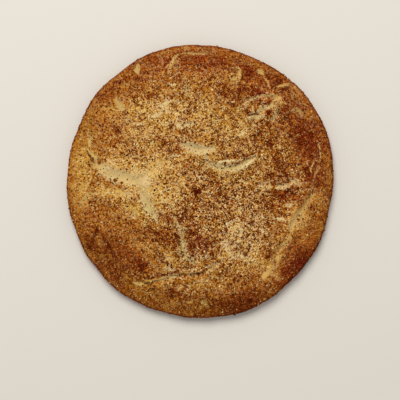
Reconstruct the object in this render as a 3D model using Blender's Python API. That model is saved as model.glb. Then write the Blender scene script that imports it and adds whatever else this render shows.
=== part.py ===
"""A snickerdoodle: one round cookie with a flat base, a rounded rim and a low, cracked top.

Run with blender --background --python part.py. Sizes are in millimetres and angles
in degrees. The mesh is written in metres, with +Z up and its origin in the middle
of the base.

The skin of the cookie is worked out lying flat, as a disc whose middle is the middle
of the top and whose edge is the edge of the base. Points are spread over that disc,
closer together in the cracks, joined up, and then folded over the cookie's form.
"""
import math

import bmesh
import bpy
import numpy as np
from mathutils import Vector, geometry, noise

NAME = "snickerdoodle"
METRES = 0.001

# The round of the cookie
MEAN_RADIUS = 47.6
HEIGHT = 9.4           # from the base to the top of the dome
WIDEST_HEIGHT = 2.6    # where the rim stands out furthest
BASE_INSET = 1.5       # how far the base's edge lies inside the widest line
BASE_TURN = 62         # how far the rim has turned under where it meets the base
DOME_POWER = 4.4       # 2 is a round dome, a higher power a flatter top

# Slow lobes of the outline: how many go round, their height, the bearing of a crest
EDGE_LOBES = (
    (1, 0.17, -20),
    (2, 0.56, 87),
    (3, 0.23, 22),
    (4, 0.29, 28),
    (5, 0.11, -36),
)

# Small bulges (+) and dents (-) of the outline: bearing, height, half width in degrees
EDGE_BUMPS = (
    (76, 0.2, 6),
    (124, -0.3, 5),
    (140, 0.25, 6),
    (158, -0.15, 6),
    (184, 0.2, 6),
    (200, -0.25, 5),
    (212, 0.3, 5),
    (221, -0.3, 4),
    (232, 0.2, 4),
    (260, -0.15, 7),
    (288, 0.2, 6),
    (310, -0.35, 6),
    (332, 0.3, 7),
    (348, -0.4, 5),
)

# Swells of the top: distance from crest to crest, height, and the slice of noise each uses
SWELLS = (
    (26.0, 0.55, 3.7),
    (11.0, 0.30, 8.2),
    (5.0, 0.18, 1.4),
)

# Cracks torn in the crust as the dough spread: width, depth and the points each runs through,
# measured from the cookie's middle
CRACKS = {
    "west rift": (2.2, 1.1, ((-39, 11), (-34, 4.6), (-28, 1.6), (-20, -0.6))),
    "west rift, north arm": (1.6, 0.8, ((-21.5, 0.6), (-17, 3), (-8.6, 8.6))),
    "west rift, south arm": (2.8, 1.4, ((-20.2, -1.5), (-18.6, -6.3), (-15.2, -12), (-14.3, -15))),
    "middle rift": (2.0, 1.0, ((-6.6, 12.5), (0, 10.8), (5.8, 11.4))),
    "middle rift, east arm": (2.0, 1.1, ((1.4, 9.8), (4, 5.4), (11, 4.4), (20.2, 9))),
    "top rim": (1.6, 0.8, ((8.5, 43.4), (0, 44.6), (-7, 43), (-10.6, 35.6))),
    "upper left": (1.6, 0.8, ((-29.8, 30.2), (-26.5, 24), (-24, 18.2))),
    "upper left, outer arm": (1.3, 0.6, ((-35, 25.8), (-31, 25.6), (-27.5, 24.6))),
    "upper left, by the rim": (1.6, 0.7, ((-21.9, 42), (-22.3, 39.5), (-21, 36.8))),
    "left rim": (1.3, 0.6, ((-36.8, 17.6), (-38.6, 13.5))),
    "left rim, lower": (1.3, 0.7, ((-33.6, -5.6), (-36.6, -4.3), (-40, -7.4), (-42, -11))),
    "lower fold": (1.7, 1.2, ((-22.5, -34.8), (-17, -35.6), (-8, -33), (0, -32.4), (7.4, -28))),
    "south stem": (2.0, 1.0, ((-9.5, -10.8), (-6, -17.5), (-5.5, -26), (-1.4, -28.8))),
    "east rift": (2.8, 1.4, ((40, -3.6), (36.5, -9.5), (31.6, -17))),
    "east rift, south arm": (2.0, 1.1, ((31.2, -18), (28.4, -22.7), (26, -27), (21, -34))),
    "east rift, twin": (1.3, 0.7, ((33.4, -21.4), (30.6, -26.4), (27.6, -30.8))),
    "north-east ridge": (1.5, 0.8, ((14.6, 26.6), (21, 29.2), (26.5, 29), (33, 34))),
    "north-east drop": (1.6, 0.9, ((25.8, 27.6), (22.4, 24.6), (19, 21.6), (17, 18.6))),
    "north-east loop": (1.6, 0.8, ((27.4, 26.8), (27.6, 23.4), (24.2, 19.6))),
    "north-east, by the rim": (1.7, 0.8, ((31.8, 24.9), (36.3, 23.3), (39.4, 18))),
    "north-east line": (1.3, 0.6, ((25, 33.3), (28, 34.4), (31.3, 36.3))),
    "north patch": (2.3, 0.6, ((10.5, 39.2), (12.9, 37.6), (12.3, 34.2))),
    "north dash": (1.6, 0.6, ((20, 38.8), (22.5, 36.9))),
    "north line": (1.7, 0.7, ((-4.4, 36.8), (-3.9, 33), (-4.8, 29))),
    "north hook": (1.3, 0.5, ((-1.8, 25.3), (1.6, 26.8), (2.7, 29.1))),
    "north bar": (1.5, 0.6, ((-6.3, 18.3), (-4, 19.5), (-1, 19.5))),
    "east crack": (1.5, 0.7, ((20, -1.1), (29.3, -1.7), (32.4, 0.5), (34.4, -2))),
    "south-east web": (1.6, 0.7, ((7.8, -16.4), (10.2, -21), (12.2, -26.4))),
    "south-east web, arm": (1.4, 0.6, ((12.6, -24), (14.8, -24.9), (17.4, -26.9))),
    "south crack": (1.4, 0.6, ((0.8, -41.4), (2.4, -43.2), (3.6, -44.8))),
    "lower left": (1.6, 0.7, ((-35.7, -18.8), (-34.2, -21.6), (-33.8, -24.4))),
}

# Rows of points on each side of a crack's line: how far out in half widths, and how high as
# a share of the crack's depth. They are the floor, the torn edge and the lifted lip.
ROWS = (
    (0.5, -1.0),
    (1.0, 0.05),
    (1.8, 0.3),
)
CRACK_END = 0.35       # width and depth at a crack's ends, as a share of those midway
CRACK_FULLNESS = 0.7   # below 1, a crack keeps its full width nearly to its ends
EDGE_WANDER = 0.35     # how far a torn edge wanders, as a share of the half width
WANDER_SCALE = 1.6     # the length of those wanders

# The mesh
SKIN_STEP = 2.05       # distance between points over most of the skin
CRACK_STEP = 1.0       # distance between points along a crack
CRACK_CLEARANCE = 1.2  # the plain skin's points keep this far from a crack's points
CLOSEST = 0.4          # two points of cracks that meet are never nearer than this
BEND_REACH = 5.5       # extra skin given to a bend, for each radian
PROFILE_STEPS = 400    # steps down the section's upper curve
LINE_STEPS = 12        # steps between two points of a crack, before it is evened out
SAME_POINT = 1e-6      # points nearer than this would be joined as one
SHARP_ANGLE = 60       # edges that bend further than this are shaded sharp


def noise_at(x, y, scale, offset):
    """Smooth noise between -1 and 1, one value for each point."""
    return np.array([noise.noise(Vector((a / scale, b / scale, offset))) for a, b in zip(x, y)])


def rim_radius(bearing):
    """Distance from the middle to the widest line, by bearing in radians."""
    radius = np.full_like(bearing, MEAN_RADIUS)
    for count, height, crest in EDGE_LOBES:
        radius += height * np.cos(count * (bearing - math.radians(crest)))
    for crest, height, half_width in EDGE_BUMPS:
        turn = np.angle(np.exp(1j * (bearing - math.radians(crest))))
        radius += height * np.exp(-((turn / math.radians(half_width)) ** 2))
    return radius


def side_profile():
    """The cookie's section from the top's middle, over the rim, to the base's edge.

    Gives for each step how far it lies from the middle once the skin is laid flat, its
    share of the rim's radius, how far it is tucked in, its height and outward normal.
    """
    down = np.linspace(0.0, math.pi / 2, PROFILE_STEPS)
    under = np.linspace(0.0, math.radians(BASE_TURN), PROFILE_STEPS // 4)[1:]
    share = np.concatenate((np.sin(down) ** (2 / DOME_POWER), np.ones(len(under))))
    turned = (1 - np.cos(under)) / (1 - math.cos(under[-1]))
    tuck = np.concatenate((np.zeros(len(down)), BASE_INSET * turned))
    upper = WIDEST_HEIGHT + (HEIGHT - WIDEST_HEIGHT) * np.cos(down)
    lower = WIDEST_HEIGHT * (1 - np.sin(under) / math.sin(under[-1]))
    height = np.concatenate((upper, lower))
    step_out = np.gradient(MEAN_RADIUS * share - tuck)
    step_up = np.gradient(height)
    length = np.hypot(step_out, step_up)
    tilt = np.unwrap(np.arctan2(step_up, step_out))
    flat = np.cumsum(length) + BEND_REACH * np.abs(tilt - tilt[0])
    return flat - flat[0], share, tuck, height, -step_up / length, step_out / length


def smooth_line(points):
    """A Catmull-Rom line through a crack's points, as even steps of about CRACK_STEP."""
    corners = np.array([points[0], *points, points[-1]], dtype=float)
    shares = np.arange(LINE_STEPS)[:, None] / LINE_STEPS
    line = []
    for a, b, c, d in zip(corners, corners[1:], corners[2:], corners[3:]):
        curve = 2 * b + (c - a) * shares + (2 * a - 5 * b + 4 * c - d) * shares ** 2
        line.append(0.5 * (curve + (3 * b - a - 3 * c + d) * shares ** 3))
    line = np.concatenate((*line, corners[-1:]))
    run = np.concatenate(([0.0], np.cumsum(np.hypot(*np.diff(line, axis=0).T))))
    even = np.linspace(0.0, run[-1], 1 + max(3, round(run[-1] / CRACK_STEP)))
    return np.column_stack([np.interp(even, run, line[:, axis]) for axis in (0, 1)])


def crack_rows(number, line, width, depth):
    """One crack's points in rows beside its line, as x, y, relief and the crack's number."""
    along = np.linspace(0.0, 1.0, len(line))
    fullness = CRACK_END + (1 - CRACK_END) * np.sin(math.pi * along) ** CRACK_FULLNESS
    heading = np.gradient(line, axis=0)
    across = np.column_stack((-heading[:, 1], heading[:, 0])) / np.hypot(*heading.T)[:, None]
    rows = []
    for side in (-1, 1):
        wander = EDGE_WANDER * noise_at(*line.T, WANDER_SCALE, 5.5 * side)
        half_width = 0.5 * width * fullness * (1 + wander)
        for reach, rise in ROWS:
            place = line + side * across * (reach * half_width)[:, None]
            rows.append(np.column_stack((place, rise * depth * fullness, np.full(len(line), number))))
    return np.concatenate(rows), np.column_stack((line, 0.5 * width * fullness))


def crack_points():
    """Points over all the cracks, as x, y and the relief at each.

    The deepest points come first, so where two cracks meet their floors run together:
    a lip that would stand in another crack is left out, and so is a point too close to
    one that is already there.
    """
    rows = []
    troughs = []
    for number, (width, depth, corners) in enumerate(CRACKS.values()):
        points, trough = crack_rows(number, smooth_line(corners), width, depth)
        rows.append(points)
        troughs.append(np.column_stack((trough, np.full(len(trough), number))))
    rows = np.concatenate(rows)
    troughs = np.concatenate(troughs)
    kept = []
    for x, y, relief, number in rows[np.argsort(rows[:, 2], kind="stable")]:
        others = troughs[troughs[:, 3] != number]
        in_another = (np.hypot(x - others[:, 0], y - others[:, 1]) < others[:, 2]).any()
        if relief > 0 and in_another:
            continue
        if kept and np.hypot(*(np.array(kept)[:, :2] - (x, y)).T).min() < CLOSEST:
            continue
        kept.append((x, y, relief))
    return np.array(kept)


def skin_points(profile):
    """All the skin's points lying flat, and the relief at each: cracks first, then plain skin."""
    flat, share = profile[:2]
    cracks = crack_points()
    bearing = np.arctan2(cracks[:, 1], cracks[:, 0])
    out = np.hypot(cracks[:, 0], cracks[:, 1]) / rim_radius(bearing)
    reach = np.interp(out, share[:PROFILE_STEPS], flat[:PROFILE_STEPS])
    in_cracks = np.column_stack((reach * np.cos(bearing), reach * np.sin(bearing)))
    plain = []
    rings = round(flat[-1] / SKIN_STEP)
    for ring in range(rings + 1):
        reach = flat[-1] * ring / rings
        out = MEAN_RADIUS * np.interp(reach, flat, share)
        count = max(1, round(2 * math.pi * out / SKIN_STEP))
        turn = (np.arange(count) + 0.5 * (ring % 2)) * 2 * math.pi / count
        spots = np.column_stack((reach * np.cos(turn), reach * np.sin(turn)))
        gaps = np.hypot(spots[:, None, 0] - in_cracks[:, 0], spots[:, None, 1] - in_cracks[:, 1])
        plain.append(spots[gaps.min(axis=1) > CRACK_CLEARANCE])
    plain = np.concatenate(plain)
    return np.concatenate((in_cracks, plain)), np.concatenate((cracks[:, 2], np.zeros(len(plain))))


def fold_over_form(points, relief, profile):
    """Take points of the flat skin to their places on the cookie, in millimetres."""
    flat, share, tuck, height, normal_out, normal_up = profile
    reach = np.hypot(points[:, 0], points[:, 1])
    bearing = np.arctan2(points[:, 1], points[:, 0])
    out = rim_radius(bearing) * np.interp(reach, flat, share) - np.interp(reach, flat, tuck)
    up = np.interp(reach, flat, height)
    for scale, size, offset in SWELLS:
        relief = relief + size * noise_at(out * np.cos(bearing), out * np.sin(bearing), scale, offset)
    relief = relief * np.clip(up / WIDEST_HEIGHT, 0.0, 1.0)
    out = out + relief * np.interp(reach, flat, normal_out)
    up = up + relief * np.interp(reach, flat, normal_up)
    return np.column_stack((out * np.cos(bearing), out * np.sin(bearing), up))


def cookie_mesh():
    """The whole cookie as one closed mesh, in metres."""
    profile = side_profile()
    points, relief = skin_points(profile)
    joined = geometry.delaunay_2d_cdt([Vector(point) for point in points], [], [], 0, SAME_POINT)
    faces, sources = joined[2:4]
    places = fold_over_form(points, relief, profile)
    places[:, :2] -= 0.5 * (places[:, :2].min(axis=0) + places[:, :2].max(axis=0))
    body = bmesh.new()
    verts = [body.verts.new(places[source[0]] * METRES) for source in sources]
    for face in faces:
        body.faces.new([verts[index] for index in face])
    base_edge = [edge for edge in body.edges if edge.is_boundary]
    bmesh.ops.contextual_create(body, geom=base_edge)
    bmesh.ops.recalc_face_normals(body, faces=body.faces[:])
    mesh = bpy.data.meshes.new(NAME)
    body.to_mesh(mesh)
    body.free()
    mesh.shade_smooth()
    mesh.set_sharp_from_angle(angle=math.radians(SHARP_ANGLE))
    return mesh


def baked_crust():
    """Golden-brown baked dough with a dry, sugared surface."""
    material = bpy.data.materials.new("baked_crust")
    material.use_nodes = True
    shader = material.node_tree.nodes["Principled BSDF"]
    shader.inputs["Base Color"].default_value = (0.33, 0.14, 0.04, 1.0)
    shader.inputs["Roughness"].default_value = 0.85
    shader.inputs["Metallic"].default_value = 0.0
    return material


def main():
    for item in list(bpy.data.objects):
        bpy.data.objects.remove(item)
    parts = bpy.data.collections.new(NAME)
    bpy.context.scene.collection.children.link(parts)
    cookie = bpy.data.objects.new(NAME, cookie_mesh())
    cookie.data.materials.append(baked_crust())
    parts.objects.link(cookie)


main()
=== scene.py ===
"""The looks of a snickerdoodle: its torn, sugared crust and the grains on it, on a plain stage."""
import itertools
import math

import bpy
import numpy as np
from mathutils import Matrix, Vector, noise


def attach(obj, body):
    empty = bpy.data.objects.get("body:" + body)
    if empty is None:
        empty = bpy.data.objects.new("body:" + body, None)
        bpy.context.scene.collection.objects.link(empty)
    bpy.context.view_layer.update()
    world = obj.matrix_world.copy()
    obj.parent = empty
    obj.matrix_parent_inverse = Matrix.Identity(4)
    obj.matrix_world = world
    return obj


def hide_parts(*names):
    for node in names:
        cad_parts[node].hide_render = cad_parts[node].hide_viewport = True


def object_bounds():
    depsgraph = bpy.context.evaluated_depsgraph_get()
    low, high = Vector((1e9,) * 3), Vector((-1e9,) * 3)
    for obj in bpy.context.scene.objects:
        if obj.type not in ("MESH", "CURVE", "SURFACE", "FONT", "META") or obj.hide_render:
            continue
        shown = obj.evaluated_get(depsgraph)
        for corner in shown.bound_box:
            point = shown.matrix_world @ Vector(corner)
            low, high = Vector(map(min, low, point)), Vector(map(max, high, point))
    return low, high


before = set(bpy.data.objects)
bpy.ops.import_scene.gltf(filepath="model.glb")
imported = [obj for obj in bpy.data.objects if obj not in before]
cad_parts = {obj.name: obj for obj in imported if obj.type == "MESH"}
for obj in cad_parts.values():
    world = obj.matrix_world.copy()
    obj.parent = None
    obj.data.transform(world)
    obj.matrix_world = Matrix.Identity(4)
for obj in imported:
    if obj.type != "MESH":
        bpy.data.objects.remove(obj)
CAD_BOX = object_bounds()

bl_info = {
    "name": "Snickerdoodle",
    "version": (1, 0, 0),
    "blender": (4, 5, 0),
    "location": "View3D > Sidebar > Snickerdoodle",
    "description": "Bakes the crust of a snickerdoodle, scatters its sugar and sets its stage",
    "category": "Object",
}

NODE = "snickerdoodle"
BODY = "root"
CRUST = "crust"
MM = 0.001

# The form of the solid, in millimetres and degrees: the height of its widest line, how far the base
# is set in from it and through what turn, and how square the dome's shoulder is
WIDEST_HEIGHT = 2.6
BASE_INSET = 1.5
BASE_TURN = 62
DOME_POWER = 4.4

# Slow lobes of the outline: how many go round, their height, the bearing of a crest
EDGE_LOBES = (
    (1, 0.17, -20),
    (2, 0.56, 87),
    (3, 0.23, 22),
    (4, 0.29, 28),
    (5, 0.11, -36),
)

# Small bulges (+) and dents (-) of the outline: bearing, height, half width in degrees
EDGE_BUMPS = (
    (76, 0.2, 6),
    (124, -0.3, 5),
    (140, 0.25, 6),
    (158, -0.15, 6),
    (184, 0.2, 6),
    (200, -0.25, 5),
    (212, 0.3, 5),
    (221, -0.3, 4),
    (232, 0.2, 4),
    (260, -0.15, 7),
    (288, 0.2, 6),
    (310, -0.35, 6),
    (332, 0.3, 7),
    (348, -0.4, 5),
)

# Swells of the top, in layers of noise. A layer is about the distance from crest to crest, the
# height, and the slice of noise that it uses
SWELLS = (
    (26.0, 0.55, 3.7),
    (11.0, 0.30, 8.2),
    (5.0, 0.18, 1.4),
)

# The crust's fine roughness, in the same way
ROUGHNESS = (
    (2.6, 0.12, 12.5),
    (1.3, 0.09, 15.1),
)

# Cracks torn in the crust: width, depth, how bare the dough shows in it from 0 to 1, and the
# points each runs through, in millimetres from the cookie's middle. They run where the solid's do.
# The west, middle and east rifts are shallower here, because at full depth their dough would lie in
# too deep a shade
CRACKS = {
    "west rift": (3.0, 0.6, 0.95, ((-39, 11), (-34, 4.6), (-28, 1.6), (-20, -0.6))),
    "west rift, north arm": (2.2, 0.5, 0.35, ((-21.5, 0.6), (-17, 3), (-8.6, 8.6))),
    "west rift, south arm": (2.8, 0.7, 0.5, ((-20.2, -1.5), (-18.6, -6.3), (-15.2, -12), (-14.3, -15))),
    "middle rift": (2.0, 0.9, 0.9, ((-6.6, 12.5), (0, 10.8), (5.8, 11.4))),
    "middle rift, east arm": (1.8, 1.0, 0.7, ((1.4, 9.8), (4, 5.4), (11, 4.4), (20.2, 9))),
    "top rim": (1.6, 0.8, 0.3, ((8.5, 43.4), (0, 44.6), (-7, 43), (-10.6, 35.6))),
    "upper left": (1.6, 0.8, 0.4, ((-29.8, 30.2), (-26.5, 24), (-24, 18.2))),
    "upper left, outer arm": (1.3, 0.6, 0.3, ((-35, 25.8), (-31, 25.6), (-27.5, 24.6))),
    "upper left, by the rim": (1.6, 0.7, 0.5, ((-21.9, 42), (-22.3, 39.5), (-21, 36.8))),
    "left rim": (1.3, 0.6, 0.4, ((-36.8, 17.6), (-38.6, 13.5))),
    "left rim, lower": (1.3, 0.7, 0.3, ((-33.6, -5.6), (-36.6, -4.3), (-40, -7.4), (-42, -11))),
    "lower fold": (1.7, 1.2, 0.25, ((-22.5, -34.8), (-17, -35.6), (-8, -33), (0, -32.4), (7.4, -28))),
    "south stem": (2.0, 1.0, 0.3, ((-9.5, -10.8), (-6, -17.5), (-5.5, -26), (-1.4, -28.8))),
    "east rift": (2.8, 1.0, 0.55, ((40, -3.6), (36.5, -9.5), (31.6, -17))),
    "east rift, south arm": (2.0, 0.7, 0.4, ((31.2, -18), (28.4, -22.7), (26, -27), (21, -34))),
    "east rift, twin": (1.3, 0.5, 0.35, ((33.4, -21.4), (30.6, -26.4), (27.6, -30.8))),
    "north-east ridge": (1.5, 0.8, 0.3, ((14.6, 26.6), (21, 29.2), (26.5, 29), (33, 34))),
    "north-east drop": (1.6, 0.9, 0.3, ((25.8, 27.6), (22.4, 24.6), (19, 21.6), (17, 18.6))),
    "north-east loop": (1.6, 0.8, 0.3, ((27.4, 26.8), (27.6, 23.4), (24.2, 19.6))),
    "north-east, by the rim": (1.7, 0.8, 0.3, ((31.8, 24.9), (36.3, 23.3), (39.4, 18))),
    "north-east line": (1.3, 0.6, 0.3, ((25, 33.3), (28, 34.4), (31.3, 36.3))),
    "north patch": (2.3, 0.6, 0.4, ((10.5, 39.2), (12.9, 37.6), (12.3, 34.2))),
    "north dash": (1.6, 0.6, 0.4, ((20, 38.8), (22.5, 36.9))),
    "north line": (1.7, 0.7, 0.4, ((-4.4, 36.8), (-3.9, 33), (-4.8, 29))),
    "north hook": (1.3, 0.5, 0.4, ((-1.8, 25.3), (1.6, 26.8), (2.7, 29.1))),
    "north bar": (1.5, 0.6, 0.4, ((-6.3, 18.3), (-4, 19.5), (-1, 19.5))),
    "east crack": (1.5, 0.7, 0.3, ((20, -1.1), (29.3, -1.7), (32.4, 0.5), (34.4, -2))),
    "south-east web": (1.6, 0.7, 0.3, ((7.8, -16.4), (10.2, -21), (12.2, -26.4))),
    "south-east web, arm": (1.4, 0.6, 0.3, ((12.6, -24), (14.8, -24.9), (17.4, -26.9))),
    "south crack": (1.4, 0.6, 0.3, ((0.8, -41.4), (2.4, -43.2), (3.6, -44.8))),
    "lower left": (1.6, 0.7, 0.2, ((-35.7, -18.8), (-34.2, -21.6), (-33.8, -24.4))),
}

# Across a crack, in half widths from its line: its relief as a share of its depth, and its bareness.
# Its ends keep a share of its width, and it fills out the sooner the lower its fullness is
CRACK_REACH = (0.0, 0.4, 0.8, 1.1, 1.8, 3.2)
CRACK_RISE = (-1.0, -0.85, -0.45, -0.1, 0.25, 0.0)
CRACK_BARE = (1.0, 1.0, 0.9, 0.7, 0.35, 0.0)
CRACK_END = 0.35
CRACK_FULLNESS = 0.7
LINE_STEPS = 5

# How the flakes wander from their lines, in layers of noise, the share of it that they do, and how
# raggedly they stand
FLAKE_WANDER = ((2.2, 1.2, 51.3), (0.9, 0.6, 53.1))
FLAKE_SWAY = 0.35
FLAKE_RAGGED = ((2.0, 0.7, 55.7), (0.8, 0.5, 57.9))

# How the two edges of a crack wander, as a share of its width, in layers of noise that lie this far
# apart to either side, in millimetres
EDGE_WANDER = ((1.6, 0.35, 5.5), (0.8, 0.25, 7.7))
SIDE_APART = 40

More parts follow.
